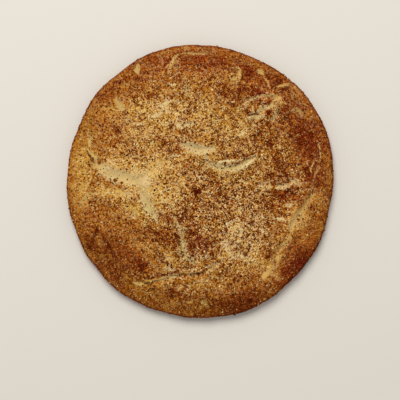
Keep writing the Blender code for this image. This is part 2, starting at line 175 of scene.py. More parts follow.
# Streaks of thin crust by region, each given as a crack is. They are too shallow to count as one
STREAKS = {
    "north-east": (
        (0.9, 0.15, 0.8, ((15.2, 26.2), (17, 27.9), (20, 29), (23, 29.9), (26.5, 29.6), (28.6, 30.6))),
        (1.8, 0.10, 0.8, ((25.6, 29.4), (27.4, 28.6), (28.4, 29.6))),
        (1.1, 0.10, 0.9, ((27, 28.2), (26.2, 26.6), (24.4, 25.8), (22.4, 25.4), (20.8, 24.4),
                          (19.4, 23.4))),
        (1.8, 0.40, 0.7, ((16.4, 22.0), (19, 22.7), (22.2, 22.8))),
        (1.5, 0.25, 0.65, ((26.8, 27), (26.7, 24.2), (26, 21.8), (24.4, 20.7))),
        (0.8, 0.00, 0.6, ((28.4, 27.6), (30.8, 26.7))),
        (1.0, 0.00, 0.7, ((32, 24.6), (34.2, 24.9), (36.2, 23.8))),
        (0.9, 0.00, 0.7, ((26.6, 32.6), (29, 33.1), (31, 33.6), (32.2, 34.6))),
        (1.3, 0.00, 0.8, ((20.2, 38.7), (21.4, 38), (22.3, 37.2))),
        (0.8, 0.00, 0.6, ((22.3, 37), (23.6, 34.6), (24.4, 32.4), (25, 30.4))),
        (1.3, 0.10, 0.7, ((11.2, 39.2), (13.4, 39.4), (14, 37.6), (13.4, 35.6), (11.4, 35.4),
                          (10.2, 36.8))),
        (0.7, 0.00, 0.7, ((11.8, 14.6), (14, 15.8), (16.2, 17.2), (17.3, 19.6))),
        (0.9, 0.00, 0.6, ((4.8, 21.2), (6.6, 20.8), (8.4, 21.4))),
    ),
    "west": (
        (2.8, 0.25, 0.9, ((-35.6, 5.6), (-34, 4.4), (-31.4, 2.6), (-28, 2.2), (-24.6, 1.4),
                          (-21.6, 0.2))),
        (2.0, 0.15, 0.7, ((-21.6, 0.6), (-19.6, -2.4), (-19.6, -5.6), (-17.8, -9.4),
                          (-15.6, -12.6), (-14.6, -14.8))),
        (1.2, 0.10, 0.6, ((-31.8, 8.6), (-31, 6.8), (-28.4, 5.8))),
        (1.5, 0.20, 0.45, ((-25.6, 4), (-23, 4), (-20.6, 3.6), (-18.4, 4.4), (-15.8, 6.4))),
        (0.9, 0.00, 0.6, ((-38.2, 15.6), (-38.4, 13), (-38.8, 11.4))),
        (0.9, 0.00, 0.7, ((-38.6, 10.4), (-37, 8.6))),
        (0.6, 0.00, 0.7, ((-42.4, -9), (-41, -7.2), (-39.4, -5.5), (-37.8, -4.2), (-35.8, -4))),
        (0.6, 0.00, 0.6, ((-36.6, -1.2), (-34.6, -0.8), (-32.8, -2.4))),
        (1.0, 0.00, 0.5, ((-42.2, -6.4), (-41, -4.4), (-39.6, -2.4), (-38.2, 0), (-37.6, 3))),
        (2.2, 0.00, 0.5, ((-24, -11.4), (-22, -13))),
    ),
    "middle": (
        (2.2, 0.30, 1.0, ((-6.2, 13.2), (-4.2, 12.4), (-1.4, 11.4), (1.4, 10.6), (3.6, 10.8))),
        (1.2, 0.10, 0.8, ((2, 9.8), (2.3, 8.2), (3.2, 6.4))),
        (1.9, 0.30, 0.9, ((3.4, 6), (6, 5.4), (9.6, 4.8), (13, 4.6), (15.6, 5.8), (18, 7.6),
                          (20, 9.2))),
        (0.7, 0.00, 0.8, ((6, 6.4), (9, 6.9), (12.4, 7), (15.4, 7.4))),
        (1.0, 0.10, 0.8, ((-10, 8.2), (-8.8, 8.9), (-7.4, 8.6))),
        (0.8, 0.00, 0.6, ((-10.2, 7), (-9.2, 5.8), (-8.4, 4.4))),
        (0.7, 0.00, 0.7, ((-2.6, 1), (-0.6, 1.5), (1.6, 1.4), (3.2, 0.4), (3.7, -0.8))),
        (0.8, 0.00, 0.8, ((3, -3.4), (3.2, -5.2))),
        (0.6, 0.00, 0.6, ((-0.4, -9.8), (1, -11.2), (2.4, -13))),
        (0.9, 0.00, 0.6, ((-9.8, -10.8), (-8.6, -12.6), (-7.8, -14.8))),
        (0.8, 0.00, 0.7, ((8.4, -8), (9.8, -8.6))),
        (0.8, 0.00, 0.6, ((12, -11), (14, -10.2), (16.6, -8.8))),
    ),
    "north-west": (
        (1.5, 0.20, 0.9, ((-21.4, 41.2), (-21.9, 39.2), (-21.2, 37.4))),
        (1.1, 0.10, 0.65, ((-6.2, 44.4), (-8.4, 43.4), (-9.4, 41.4), (-10.2, 39), (-11, 37.4))),
        (0.6, 0.00, 0.7, ((-11.8, 39.4), (-10.4, 40.8))),
        (0.8, 0.00, 0.6, ((-6.4, 44.5), (-3, 44.9), (1, 44.6), (4, 45))),
        (1.3, 0.30, 0.55, ((-4.6, 37), (-5, 34), (-4.7, 31.6), (-4.2, 30))),
        (0.8, 0.00, 0.7, ((-11.8, 33.9), (-9.8, 33.5), (-7.6, 33.6))),
        (1.2, 0.20, 0.9, ((-29.2, 29.4), (-28.4, 27.8), (-27.2, 26), (-26.2, 24.2))),
        (1.0, 0.00, 0.6, ((-26, 23.4), (-25.2, 21.6), (-24.6, 19.6))),
        (0.8, 0.00, 0.5, ((-36, 26), (-33, 25.4), (-30, 25.4), (-28, 24.6))),
        (1.0, 0.00, 0.8, ((-15.2, 25.8), (-12.8, 26.2), (-11, 27.4), (-8.8, 28))),
        (1.0, 0.00, 0.8, ((-18.2, 22.4), (-16, 22.4), (-14.2, 23), (-13, 24.4))),
        (0.8, 0.00, 0.7, ((-23.4, 20), (-21.6, 19.6), (-19.8, 19.9))),
        (0.8, 0.00, 0.6, ((-21, 27.4), (-19.8, 26.6))),
        (1.2, 0.20, 0.9, ((-8.2, 20), (-6.9, 18.9), (-5.8, 18.2))),
        (1.0, 0.10, 0.9, ((-5.6, 19.2), (-3.2, 19.8), (-1, 20))),
        (0.9, 0.00, 0.6, ((-13.6, 20), (-11.8, 19.4))),
        (0.7, 0.00, 0.5, ((-16.4, 28.8), (-14.6, 28.2))),
    ),
    "east": (
        (0.8, 0.00, 0.5, ((20.6, -1.8), (23, -1.6), (25.4, -1.4))),
        (1.3, 0.10, 0.9, ((27.2, -1.6), (29, -1.9), (30.8, -0.9))),
        (1.3, 0.10, 0.8, ((31.6, 0.4), (33.2, -0.2), (34.4, -1.6))),
        (0.7, 0.00, 0.5, ((22.8, -2.6), (25, -2.4))),
        (1.0, 0.00, 0.8, ((29.6, -8.2), (31, -8.5), (32.6, -8.2))),
        (0.9, 0.00, 0.8, ((25.6, -12.6), (27.6, -13.2), (29.2, -13.4), (30.2, -14.6))),
        (0.8, 0.00, 0.7, ((20.6, -17), (22.4, -17.2), (23.6, -18.2))),
        (2.4, 0.20, 0.8, ((37.6, -8), (35.8, -10.8), (34, -13), (32.4, -15.2), (31.4, -17.8))),
        (3.8, 0.00, 0.35, ((36.6, -9), (34.2, -12.6), (31, -18))),
        (1.6, 0.00, 0.50, ((33.4, -16.8), (35.2, -16), (37.4, -15.4))),
        (1.2, 0.00, 0.7, ((39.6, -4), (39.2, -6))),
        (0.6, 0.00, 0.8, ((40, 6.8), (39.2, 5.2), (38.6, 4.6), (39, 2.6))),
        (0.5, 0.00, 0.7, ((41.2, 14.6), (41.8, 12), (42.2, 9), (42, 6.4))),
        (0.5, 0.00, 0.6, ((42, 6), (41.6, 4.4), (40.4, 2.6), (39.6, 0), (38.6, -1.8))),
    ),
    "south-east": (
        (3.6, 0.00, 0.25, ((30.6, -20.4), (28.4, -24), (26.4, -28), (23.4, -32.4))),
        (1.4, 0.20, 0.65, ((31.8, -19.2), (31, -21.2), (29, -22.6), (28.2, -24.6))),
        (1.5, 0.20, 0.7, ((28.9, -25.6), (27, -27.2), (26.3, -29.6), (24.2, -31.2))),
        (1.6, 0.10, 0.9, ((24.6, -31), (23, -32.6), (21.8, -33.8))),
        (1.2, 0.00, 0.6, ((26.4, -33.6), (28.6, -34.6))),
        (1.5, 0.10, 0.6, ((8.6, -20), (9.4, -22.4), (10.4, -24.6), (11.8, -27.4))),
        (1.0, 0.00, 0.6, ((11, -24), (13, -25.4), (16, -26.4), (19.6, -27.4))),
        (1.0, 0.10, 0.8, ((14.8, -15.6), (14.6, -17.6), (14.2, -19.6))),
        (1.0, 0.00, 0.6, ((8.4, -16.6), (10, -15.4), (12, -13.6), (13.4, -14.8))),
        (0.7, 0.00, 0.6, ((15.4, -19.8), (17.4, -21), (18.8, -22.4))),
        (0.8, 0.00, 0.5, ((9.4, -35.8), (7.4, -36.8))),
    ),
    "south": (
        (1.5, 0.20, 0.7, ((-8.4, -13), (-7.4, -15.4), (-6, -18), (-5.8, -21), (-5, -24), (-4, -26),
                          (-1.6, -26.8))),
        (0.9, 0.00, 0.7, ((-6.4, -16.4), (-4, -16.6))),
        (0.8, 0.00, 0.9, ((-4.4, -27.2), (-2.8, -27.8), (-1.4, -29.2))),
        (1.2, 0.00, 0.6, ((-6.6, -23.6), (-6.8, -26))),
        (1.4, 0.00, 0.6, ((-11, -26), (-10, -27.4))),
        (1.2, 0.00, 0.6, ((-13, -30.6), (-10.4, -30.6), (-8, -30.2))),
        (1.0, 0.00, 0.9, ((-16, -34.6), (-12, -34), (-9, -33), (-6.6, -32.6))),
        (0.9, 0.00, 0.7, ((-23.4, -35.2), (-20.6, -35.9), (-18, -36.2))),
        (0.7, 0.00, 0.6, ((2.6, -31.8), (4.4, -31.2), (6, -29.4), (7.4, -28.2))),
        (1.0, 0.00, 0.7, ((2.8, -29.6), (4.8, -29), (7, -28.4))),
        (1.4, 0.10, 0.6, ((0.4, -41.6), (2, -42.6), (3.6, -44.4))),
        (0.7, 0.00, 0.5, ((-6, -42.2), (-3, -42.2), (-0.6, -41))),
        (1.2, 0.00, 0.5, ((-21.8, -31.6), (-20, -32.2))),
        (2.4, 0.00, 0.4, ((-34.8, -20.4), (-33.8, -22.6))),
    ),
}

# Narrow folds creased into the crust, which stay dark with painted shade: width, depth, and the points
# each runs through
FOLDS = (
    (0.9, 0.5, ((-39.8, 11.2), (-38.6, 9.2), (-37.2, 7.4), (-36.2, 5.8))),
    (0.9, 0.6, ((-21.0, -33.5), (-17.4, -33.9), (-14, -33.2), (-11, -32.4), (-8, -31.5),
                (-5.6, -30.9))),
    (0.8, 0.4, ((-2.6, -31.9), (0.2, -32.1), (3, -31.3))),
    (1.8, 0.3, ((-35.2, -17.4), (-33, -19.8), (-31.6, -22.6), (-29.6, -26), (-27.6, -29))),
    (1.6, 0.3, ((-35.4, -17.4), (-36.6, -19.6), (-37.4, -22))),
    (0.8, 0.4, ((16.6, 22.4), (19, 23.1), (22, 23.2))),
    (0.8, 0.3, ((13.4, 9.2), (16, 8.6), (18.4, 9.4), (19.8, 9.8))),
    (0.9, 0.4, ((-36, -16), (-35.4, -17.6))),
)

# Dark spots, partly painted shade in small holes and hollows and partly darker crust: x, y, radius,
# strength
SPOTS_AND_HOLE_SHADE = (
    (-0.9, -3.8, 1.2, 0.65), (-4.0, -5.0, 1.3, 0.20), (8.2, 1.1, 0.6, 0.40),
    (11.4, -4.0, 0.7, 0.40), (19.3, 3.6, 0.7, 0.20), (4.2, 2.6, 0.7, 0.25),
    (4.3, -0.4, 0.6, 0.15), (-16.8, 30.3, 1.6, 0.10), (-29.0, 0.4, 0.6, 0.45),
    (-26.8, -0.6, 0.5, 0.45), (-37.2, -1.0, 0.8, 0.40), (-38.4, 5.4, 0.6, 0.45),
    (-34.8, 6.6, 0.9, 0.25), (-36.0, 3.4, 0.5, 0.40), (-21.2, -5.0, 0.6, 0.50),
    (-27.2, -6.2, 0.5, 0.50), (-25.0, 4.0, 0.5, 0.45), (-13.6, 1.3, 0.6, 0.50),
    (-14.2, -0.8, 0.5, 0.50), (-15.0, -8.6, 0.6, 0.35), (24.2, 23.4, 1.4, 0.40),
    (24.4, 27.8, 1.0, 0.30), (-26.0, 24.0, 0.9, 0.40), (-20.4, 22.0, 0.7, 0.35),
    (-19.6, 18.8, 0.6, 0.45), (-9.6, 19.2, 0.7, 0.40), (-18.4, 19.6, 0.5, 0.40),
    (-20.5, -29.0, 2.2, 0.18), (-10.0, -38.6, 1.8, 0.18), (9.2, -16.6, 0.6, 0.45),
    (16.8, -18.6, 0.7, 0.35), (28.6, -5.6, 1.6, 0.18), (24.6, 1.8, 1.5, 0.20),
    (39.2, -9.0, 0.6, 0.30), (15.0, -12.4, 1.0, 0.20), (-36.0, -17.6, 1.4, 0.15),
    (-32.0, -23.4, 1.5, 0.15), (-38.5, -23.0, 1.8, 0.15), (14.8, 32.0, 1.7, 0.15),
    (-7.6, -19.8, 0.9, 0.25), (24.6, 12.6, 1.6, 0.18), (17.2, -24.6, 0.9, 0.25),
    (26.4, -28.2, 0.6, 0.35), (34.6, -13.4, 0.6, 0.30), (-19.2, -24.4, 0.6, 0.35),
    (-23.4, -24.8, 0.6, 0.30), (20.7, 16.4, 0.7, 0.30), (-12.0, 13.0, 0.9, 0.20),
    (-28.0, 17.2, 1.0, 0.18), (26.4, 6.8, 1.2, 0.18),
)

# Thin flakes torn up along the cracks: width, height, and the points each runs through
FLAKES = {
    "left": (0.8, 0.35, ((-33.8, -5.1), (-36.6, -4.4), (-39.1, -6.1), (-40.8, -8.2), (-42.2, -10.7))),
    "north-east": (0.6, 0.3, ((36.3, 23.3), (38.0, 21.6), (39.1, 19.1), (39.8, 16.6), (40.3, 13.5))),
    "north-east drop": (0.8, 0.5, ((17.0, 19.5), (17.7, 22.0), (19.4, 22.4), (21.2, 21.4))),
    "lower fold": (1.0, 0.45, ((-20.5, -35.6), (-16.0, -34.5), (-10.5, -33.8), (-7.5, -32.6))),
    "lower fold, east": (0.9, 0.3, ((-6.5, -32.2), (-2.6, -31.6), (3.0, -31.5), (5.6, -29.6),
                                    (7.4, -28.2))),
    "middle rift, east": (0.8, 0.4, ((10.5, 3.6), (14.5, 4.3), (18.0, 6.4), (20.0, 8.0))),
    "middle rift": (0.8, 0.3, ((-4.6, 10.4), (-1.0, 9.6), (2.0, 9.4))),
    "east crack": (0.9, 0.4, ((22.0, -2.0), (26.0, -2.3), (30.0, -2.6), (32.6, -0.6), (34.2, -1.6))),
    "east rift": (0.8, 0.35, ((29.0, -21.0), (27.0, -24.4), (25.0, -28.2), (23.4, -31.4))),
    "stem": (0.8, 0.3, ((-5.2, -19.0), (-4.4, -23.0), (-3.6, -26.0), (-1.6, -27.9), (0.8, -28.8))),
    "south-east": (0.7, 0.3, ((14.0, -20.0), (15.8, -23.5), (15.0, -27.0), (17.5, -29.0))),
    "north cap": (0.8, 0.3, ((-8.0, 36.8), (-9.6, 39.6), (-7.6, 42.6), (-2.6, 44.6))),
    "north": (0.7, 0.3, ((-14.6, 27.2), (-11.0, 26.6), (-8.4, 27.9), (-6.0, 27.0))),
    "north-east ridge": (0.8, 0.3, ((20.0, 27.9), (24.0, 28.6), (27.0, 27.4), (29.4, 26.0))),
    "north-east cap": (0.7, 0.3, ((26.6, 32.4), (29.0, 33.4), (31.6, 33.0))),
}

# How dark the crust is by distance from the rim in millimetres: 0 is darkest, 1 palest. It is browning,
# and the darkest stops at the rim's edge are partly scorched crust and partly painted shade
RIM_DISTANCE = (0.0, 0.5, 1.2, 3.0, 6.0, 10.0, 17.0, 28.0)
RIM_BROWNING_AND_SHADE = (0.15, 0.27, 0.41, 0.40, 0.40, 0.41, 0.42, 0.41)

# Darker (-) and paler (+) patches, partly browned and golden crust and partly painted shade and painted
# light, such as the shades and glows by the cracks: x, y, half length, half width, turn in degrees,
# strength
BROWNING_AND_PAINTED_LIGHT = {
    "north-east scorch": (36.4, 16.0, 8.6, 4.2, 105, -0.22),
    "north-east rim": (32.0, 27.0, 6.0, 3.0, -45, -0.14),
    "north-east rim, upper": (25.0, 34.5, 5.0, 2.6, -40, -0.18),
    "north-east bank": (20.0, 29.6, 3.2, 2.2, 0, -0.26),
    "north-east shade": (24.4, 16.5, 5.0, 4.0, 20, -0.15),
    "east shade": (28.6, 3.0, 9.0, 3.2, 98, -0.17),
    "east shade, lower": (26.4, -5.0, 6.0, 2.8, 0, -0.18),
    "east rim": (41.6, 6.0, 3.0, 12.0, 0, -0.12),
    "east rim, lower": (41.6, -9.4, 2.0, 4.0, 20, -0.08),
    "east bank": (24.6, -9.0, 2.4, 1.8, 10, -0.10),
    "north shade": (13.0, 28.6, 3.0, 3.4, 70, -0.16),
    "north core": (16.4, 36.6, 2.8, 4.0, 0, -0.27),
    "north rim": (1.0, 42.0, 12.0, 3.2, 0, -0.17),
    "north fleck": (-5.4, 29.0, 2.4, 2.4, 0, 0.13),
    "north bank": (7.8, 30.0, 2.8, 4.6, 0, -0.13),
    "north-west rim": (-20.0, 38.6, 8.0, 3.4, 30, -0.11),
    "north-west fleck": (-17.5, 29.6, 3.0, 1.6, 0, -0.06),
    "north-west edge": (-32.0, 31.0, 6.0, 2.0, 45, -0.13),
    "north-west glow, lower": (-16.4, 11.8, 3.6, 2.2, 5, 0.12),
    "middle shade, upper": (3.6, -4.0, 4.0, 3.0, -20, -0.08),
    "middle shade": (-4.0, -11.4, 2.2, 2.8, 0, -0.18),
    "middle shade, lower": (3.4, -21.8, 3.6, 4.0, 0, -0.20),
    "south-west scorch": (-38.2, -21.8, 3.8, 2.2, -60, -0.15),
    "south-west shade": (-26.5, -27.0, 10.0, 5.0, -38, -0.15),
    "south-west bank": (-11.2, -19.6, 4.8, 2.6, -8, -0.21),
    "south spot": (-10.0, -39.5, 4.6, 2.4, 0, -0.12),
    "south rim": (14.6, -42.0, 8.0, 4.0, 18, -0.26),
    "south rim, lower": (1.0, -43.0, 8.0, 3.0, 0, -0.11),
    "south-east scorch": (34.0, -28.8, 9.3, 4.0, 50, -0.22),
    "south-west rim": (-31.0, -31.5, 7.0, 1.8, -45, -0.15),
    "north-east corner": (29.0, 34.0, 2.6, 2.0, -45, -0.16),
    "north-east pocket": (29.0, 22.4, 2.2, 2.8, 0, -0.20),
    "north gap": (-5.0, 21.4, 2.6, 1.8, 0, -0.14),
    "middle gap": (6.6, 0.8, 2.4, 2.2, 0, -0.22),
    "middle rift bank": (12.6, 8.2, 4.6, 1.8, 12, -0.17),
    "east gap": (38.4, 1.6, 2.0, 3.6, 0, -0.24),
    "south-west line": (-18.0, -37.0, 4.0, 1.4, -10, -0.10),
    "west glow": (-17.6, -2.6, 9.0, 6.0, -50, 0.29),
    "west glow, east": (-11.4, 4.6, 5.4, 3.0, 25, 0.20),
    "rift bank": (-30.4, -4.0, 5.4, 2.7, -15, 0.28),
    "north dot": (0.4, 24.2, 2.4, 1.8, 0, 0.10),
    "north-west dot": (-12.4, 17.8, 2.2, 2.2, 0, 0.10),
    "north-west dot, upper": (-16.2, 30.6, 2.4, 1.6, 0, 0.12),
    "south-east edge": (37.4, -21.4, 2.4, 3.0, 0, 0.18),
    "west glow, inner": (-22.0, 0.0, 4.0, 3.0, -20, 0.07),
    "rift glow": (-28.6, 5.6, 6.0, 3.2, -12, 0.22),
    "rift glow, north": (-15.6, 6.8, 4.4, 2.8, 20, 0.18),
    "west rim": (-41.6, 3.0, 4.6, 8.0, 0, 0.19),
    "west rim, lower": (-40.5, -7.0, 3.5, 4.5, 0, 0.11),
    "west brow": (-39.0, 10.0, 3.0, 3.5, 0, 0.07),
    "south-west glow": (-21.2, -11.2, 5.5, 3.0, -20, 0.11),
    "north-west glow": (-12.6, 22.0, 9.4, 4.4, -5, 0.19),
    "north-west glow, upper": (-21.0, 25.2, 4.2, 2.4, 0, 0.13),
    "north-west glow, west": (-20.0, 16.5, 4.5, 5.0, 0, 0.15),
    "north-west corner": (-29.0, 24.0, 5.0, 4.0, 0, 0.20),
    "north glow": (4.2, 22.4, 5.6, 3.4, 0, 0.12),
    "middle glow": (0.8, 9.4, 6.6, 3.8, 0, 0.15),
    "middle glow, south": (-7.0, -4.2, 4.0, 4.6, 0, 0.15),
    "middle glow, east": (11.4, 0.6, 5.0, 2.8, 0, 0.08),
    "north-east scorch, inner": (32.4, 14.4, 2.6, 3.4, 0, -0.08),
    "north-east glow": (12.0, 17.2, 4.6, 3.4, 0, 0.12),
    "south-east glow": (12.5, -18.5, 6.0, 8.0, 0, 0.14),
    "south-east gold": (19.6, -27.2, 4.4, 4.0, 10, 0.20),
    "south-east corner": (26.0, -30.6, 4.4, 2.6, 45, 0.22),
    "east groove": (32.6, -15.2, 6.4, 3.0, 55, 0.18),
    "east gold": (41.4, -6.4, 1.9, 3.4, 0, 0.20),
    "south-east rim": (43.0, -15.0, 2.0, 5.0, -15, 0.06),
    "south tan": (-10.2, -26.4, 2.4, 2.4, 0, 0.14),
    "south gold": (1.0, -35.4, 6.0, 3.0, 0, 0.12),
    "south-west gold": (-12.4, -34.8, 4.6, 1.6, 5, 0.08),
    "south-west fleck": (-19.6, -23.4, 3.0, 1.8, 0, 0.12),
    "stem shade": (-2.4, -21.2, 2.4, 6.8, 0, -0.18),
    "groove bank": (25.0, -26.6, 2.4, 2.4, 0, -0.22),
    "north-east fleck": (35.2, 24.0, 3.2, 1.3, -10, 0.20),
    "west glow, south": (-16.4, -6.6, 2.4, 2.8, 0, 0.20),
    "north-east gold": (26.8, 13.4, 2.2, 2.6, 0, 0.14),
    "south-east fleck": (8.6, -25.2, 2.8, 1.8, 0, 0.16),
    "south-east gap": (14.6, -22.8, 2.2, 2.2, 0, -0.18),
    "north glow, lower": (0.6, 16.4, 3.0, 2.4, 0, 0.16),
    "north glow, upper": (4.6, 29.2, 2.2, 2.6, 0, 0.14),
    "middle bank": (11.6, -12.8, 2.6, 2.0, 0, -0.14),
    "north-east gap": (17.6, 24.0, 2.0, 1.6, 0, -0.15),
    "west fleck": (-29.4, 11.0, 2.4, 1.8, 0, 0.14),
    "stem bank": (-11.4, -13.2, 2.2, 2.2, 0, -0.16),
    "south-west dip": (-19.4, -17.4, 3.0, 2.0, 0, -0.16),
}

# Where the crust stretched until dough shows through it, in the same way
BARE_PATCHES = {
    "west hub": (-18.6, -3.4, 6.0, 2.8, -62, 0.5),
    "west hub, north": (-22.5, 0.6, 6.5, 1.8, 0, 0.5),
    "north-west streak": (-9.6, 24.5, 4.5, 1.5, 15, 0.4),
    "upper left hollow": (-25.9, 25.4, 3.2, 1.2, -60, 0.3),
    "south-east tan": (11.7, -20.5, 6.0, 2.6, -75, 0.2),
    "stem foot": (-2.0, -27.6, 2.2, 1.2, 0, 0.15),
    "north-east hollow": (20.5, 22.4, 2.8, 1.2, 20, 0.4),
    "left brow": (-37.8, 15.8, 4.0, 1.0, 90, 0.4),
}

# Where fine pale lines run through the crust, in the same way
WEB_PATCHES = {
    "south-east": (12.0, -20.0, 9.0, 9.0, 0, 0.8),
    "north": (-8.6, 25.0, 9.0, 6.0, 0, 0.5),
    "north-east": (25.5, 25.0, 10.0, 7.0, 0, 0.5),
    "north cap": (-5.0, 42.0, 12.0, 4.0, 0, 0.3),
    "west": (-19.0, -1.0, 9.0, 9.0, 0, 0.6),
    "east": (26.5, -1.2, 8.0, 3.5, 0, 0.8),
    "east rim": (38.7, 9.0, 12.0, 3.0, 90, 0.7),
    "south": (-2.5, -31.0, 8.0, 8.0, 0, 0.8),
}

# How much sugar stuck to the crust by distance from the rim, and where more (+) or less (-) did
SUGAR_DISTANCE = (0.0, 6.0, 13.0, 24.0)
SUGAR_COVER = (0.15, 0.25, 0.5, 0.75)
SUGAR_PATCHES = {
    "middle": (7.0, -8.0, 16.0, 12.0, 20, 0.25),
    "south-east": (18.0, -22.0, 8.0, 8.0, 0, 0.2),
    "north": (-20.0, 22.0, 8.0, 5.0, 0, 0.15),
    "south-west": (-26.0, -20.0, 10.0, 8.0, -30, -0.25),
    "west hub": (-21.0, -2.0, 8.0, 5.0, -40, -0.25),
    "north-east scorch": (37.5, 14.0, 9.0, 5.0, 100, -0.15),
    "south-east scorch": (34.0, -27.0, 9.0, 5.0, 54, -0.15),
}

# Where the crust is redder (+) or greener (-) than its tone tells, in the same way
WARMTH_PATCHES = {
    "north-east": (37.0, 16.0, 10.0, 6.0, 100, 0.4),
    "south-east": (34.0, -27.0, 10.0, 5.5, 54, 0.5),
    "north": (-5.0, 40.0, 15.0, 4.5, 0, 0.7),
    "west": (-21.0, 13.0, 15.0, 8.0, 0, 0.5),
    "south-west rim": (-18.0, -37.0, 13.0, 4.0, -25, -1.0),
    "south rim": (4.0, -43.5, 12.0, 3.0, 0, -1.0),
    "stem": (-5.4, -20.0, 1.6, 5.0, 0, -0.8),
    "west glow": (-21.0, -10.0, 6.0, 3.0, -20, -0.8),
    "middle rift": (9.0, 4.0, 9.0, 5.0, 0, -1.0),
    "middle": (8.0, -9.0, 20.0, 14.0, -15, 0.75),
    "north-east hollow": (16.0, 21.0, 4.0, 4.0, 0, -0.8),
    "south-west": (-34.5, -24.0, 6.0, 5.0, 0, -0.9),
    "west rim": (-39.5, 12.0, 4.5, 13.0, 0, -0.9),
    "north-east bank": (22.0, 31.0, 6.0, 4.0, 0, 1.0),
    "east": (33.0, -4.0, 8.0, 5.0, 60, 0.6),
    "south-east rim": (17.0, -36.0, 7.0, 4.0, 20, 0.4),
    "middle shade": (1.0, -23.0, 3.4, 4.0, 0, 0.7),
}

# How noise bends the patches out of shape, turns the warmth, and mottles the tone and the bareness,
# in layers of noise
PATCH_WARP = ((6.0, 1.6, 21.3), (2.4, 0.9, 24.7))
WARMTH_WANDER = ((7.0, 0.4, 45.1), (3.0, 0.6, 47.3))
MOTTLE = ((6.0, 0.03, 31.0), (3.0, 0.06, 33.9), (1.7, 0.09, 36.4), (1.0, 0.11, 38.6))
BARE_MOTTLE = ((2.4, 0.5, 41.2), (1.0, 0.4, 43.8))

# How much paler and barer a flake is for each millimetre that it stands up, its paleness partly bare
# dough and partly a painted highlight on the raised edge, and how much painted shade darkens a fold
FLAKE_TONE_AND_HIGHLIGHT = 0.9
FLAKE_BARENESS = 1.6
# Painted shade in a fold
FOLD_PAINTED_SHADE = 0.35

# Under the widest line: how much paler the side is, and how much darker down at its foot, and the
# foot's height in millimetres
SIDE_TONE = 0.06
FOOT_SHADE = 0.2
FOOT_HEIGHT = 1.2

# The base is plain: its tone and how much sugar stuck to it
UNDERSIDE_TONE = 0.42
UNDERSIDE_SUGAR = 0.2

# Faces that meet at a sharper angle than this, in degrees, keep the edge between them
SHARP_ANGLE = 70

# Sizes in the crust's material, in millimetres: its specks, melted sugar, fine curls, pale threads,
# the blooms of its bare dough, and the height of its bumps
SPECK_SIZE = 0.46
MELT_SIZE = 0.6
CURL_SIZE = 1.5
THREAD_SIZE = 3.4
BLOOM_SIZE = 4.0
BUMP_HEIGHT = 0.22

# A grain is a block with sides of this share of its size. Its corners are dented, its sides
# stretched and its size changed at random, by these spreads
BLOCK_SIDE = 0.8
DENT_SPREAD = 0.14
STRETCH_SPREAD = 0.16
SIZE_SPREAD = 0.24

# How strongly grains gather where the mottle is pale (+) or dark (-), and the least and the most
# that it changes how closely they lie
GATHER = 9.0
GATHER_LIMITS = (0.15, 2.2)

# Grains lie the closer the higher up they are, from none to all between these heights in
# millimetres, and the more level the crust is there, from a share to all between these values of
# its normal's height
GRAIN_HEIGHTS = (0.3, 1.5)
GRAIN_LEVELS = (0.3, 0.9)
STEEP_SHARE = 0.12

# What each kind of grain starts its random draws from
CINNAMON_SEED = 11
SUGAR_SEED = 23
SPECK_SEED = 37


def colour(name, description, *shade):
    """A colour that a user can change."""
    return bpy.props.FloatVectorProperty(
        name=name, description=description, default=(*shade, 1.0), size=4, subtype="COLOR")


def length(name, description, metres):
    """A length that a user can change."""
    return bpy.props.FloatProperty(
        name=name, description=description, default=metres, min=0.0, unit="LENGTH")


def number(name, description, default, least=1):
    """A whole number that a user can change."""
    return bpy.props.IntProperty(name=name, description=description, default=default, min=least)


class CookieForm(bpy.types.PropertyGroup):
    """Sizes of the crust."""

    mean_radius: length("Mean radius", "From the middle to the rim, on average", 47.6 * MM)
    height: length("Height", "From the base to the top of the dome, before its relief", 9.4 * MM)
    sink: length("Sink", "How far the crust stays inside the form's box, for its grains", 0.1 * MM)
    cells: number("Cells", "Faces across the crust from one side of its base to the other", 310, 8)


class CookieColours(bpy.types.PropertyGroup):
    """Colours of the baked dough and of the grains on it."""

    scorched: colour("Scorched", "The crust where it browned most", 0.074, 0.0100, 0.0025)
    browned: colour("Browned", "Well browned crust", 0.205, 0.038, 0.007)
    toasted: colour("Toasted", "Toasted crust", 0.370, 0.124, 0.011)
    golden: colour("Golden", "Golden crust", 0.52, 0.243, 0.031)
    pale: colour("Pale", "Crust that hardly browned", 0.675, 0.45, 0.102)
    dough: colour("Dough", "Bare dough at a crack's edge", 0.76, 0.595, 0.285)
    rim_dough: colour("Rim dough", "Bare dough near the rim, browned a little", 0.655, 0.415, 0.108)
    # Darker bare dough, for blooms and for painted shade deep in a crack
    dough_bloom_and_shade: colour("Deep dough", "Bare dough deep in a crack", 0.50, 0.35, 0.125)
    cinnamon_dark: colour("Dark cinnamon", "The darkest cinnamon sugar", 0.070, 0.010, 0.002)
    cinnamon_brown: colour("Brown cinnamon", "Brown cinnamon sugar", 0.21, 0.045, 0.006)
    cinnamon_amber: colour("Amber cinnamon", "Amber cinnamon sugar", 0.40, 0.155, 0.024)
    cinnamon_gold: colour("Gold cinnamon", "The palest cinnamon sugar", 0.57, 0.290, 0.075)
    sugar_brown: colour("Brown sugar", "The brownest of the pale sugar", 0.29, 0.090, 0.024)
    sugar_amber: colour("Amber sugar", "Amber crystals of the pale sugar", 0.58, 0.310, 0.082)
    sugar_pale: colour("Pale sugar", "The palest of the pale sugar", 0.86, 0.67, 0.31)
    speck_black: colour("Black speck", "The darkest of the dark specks", 0.035, 0.005, 0.001)
    speck_brown: colour("Brown speck", "The brownest of the dark specks", 0.120, 0.018, 0.002)


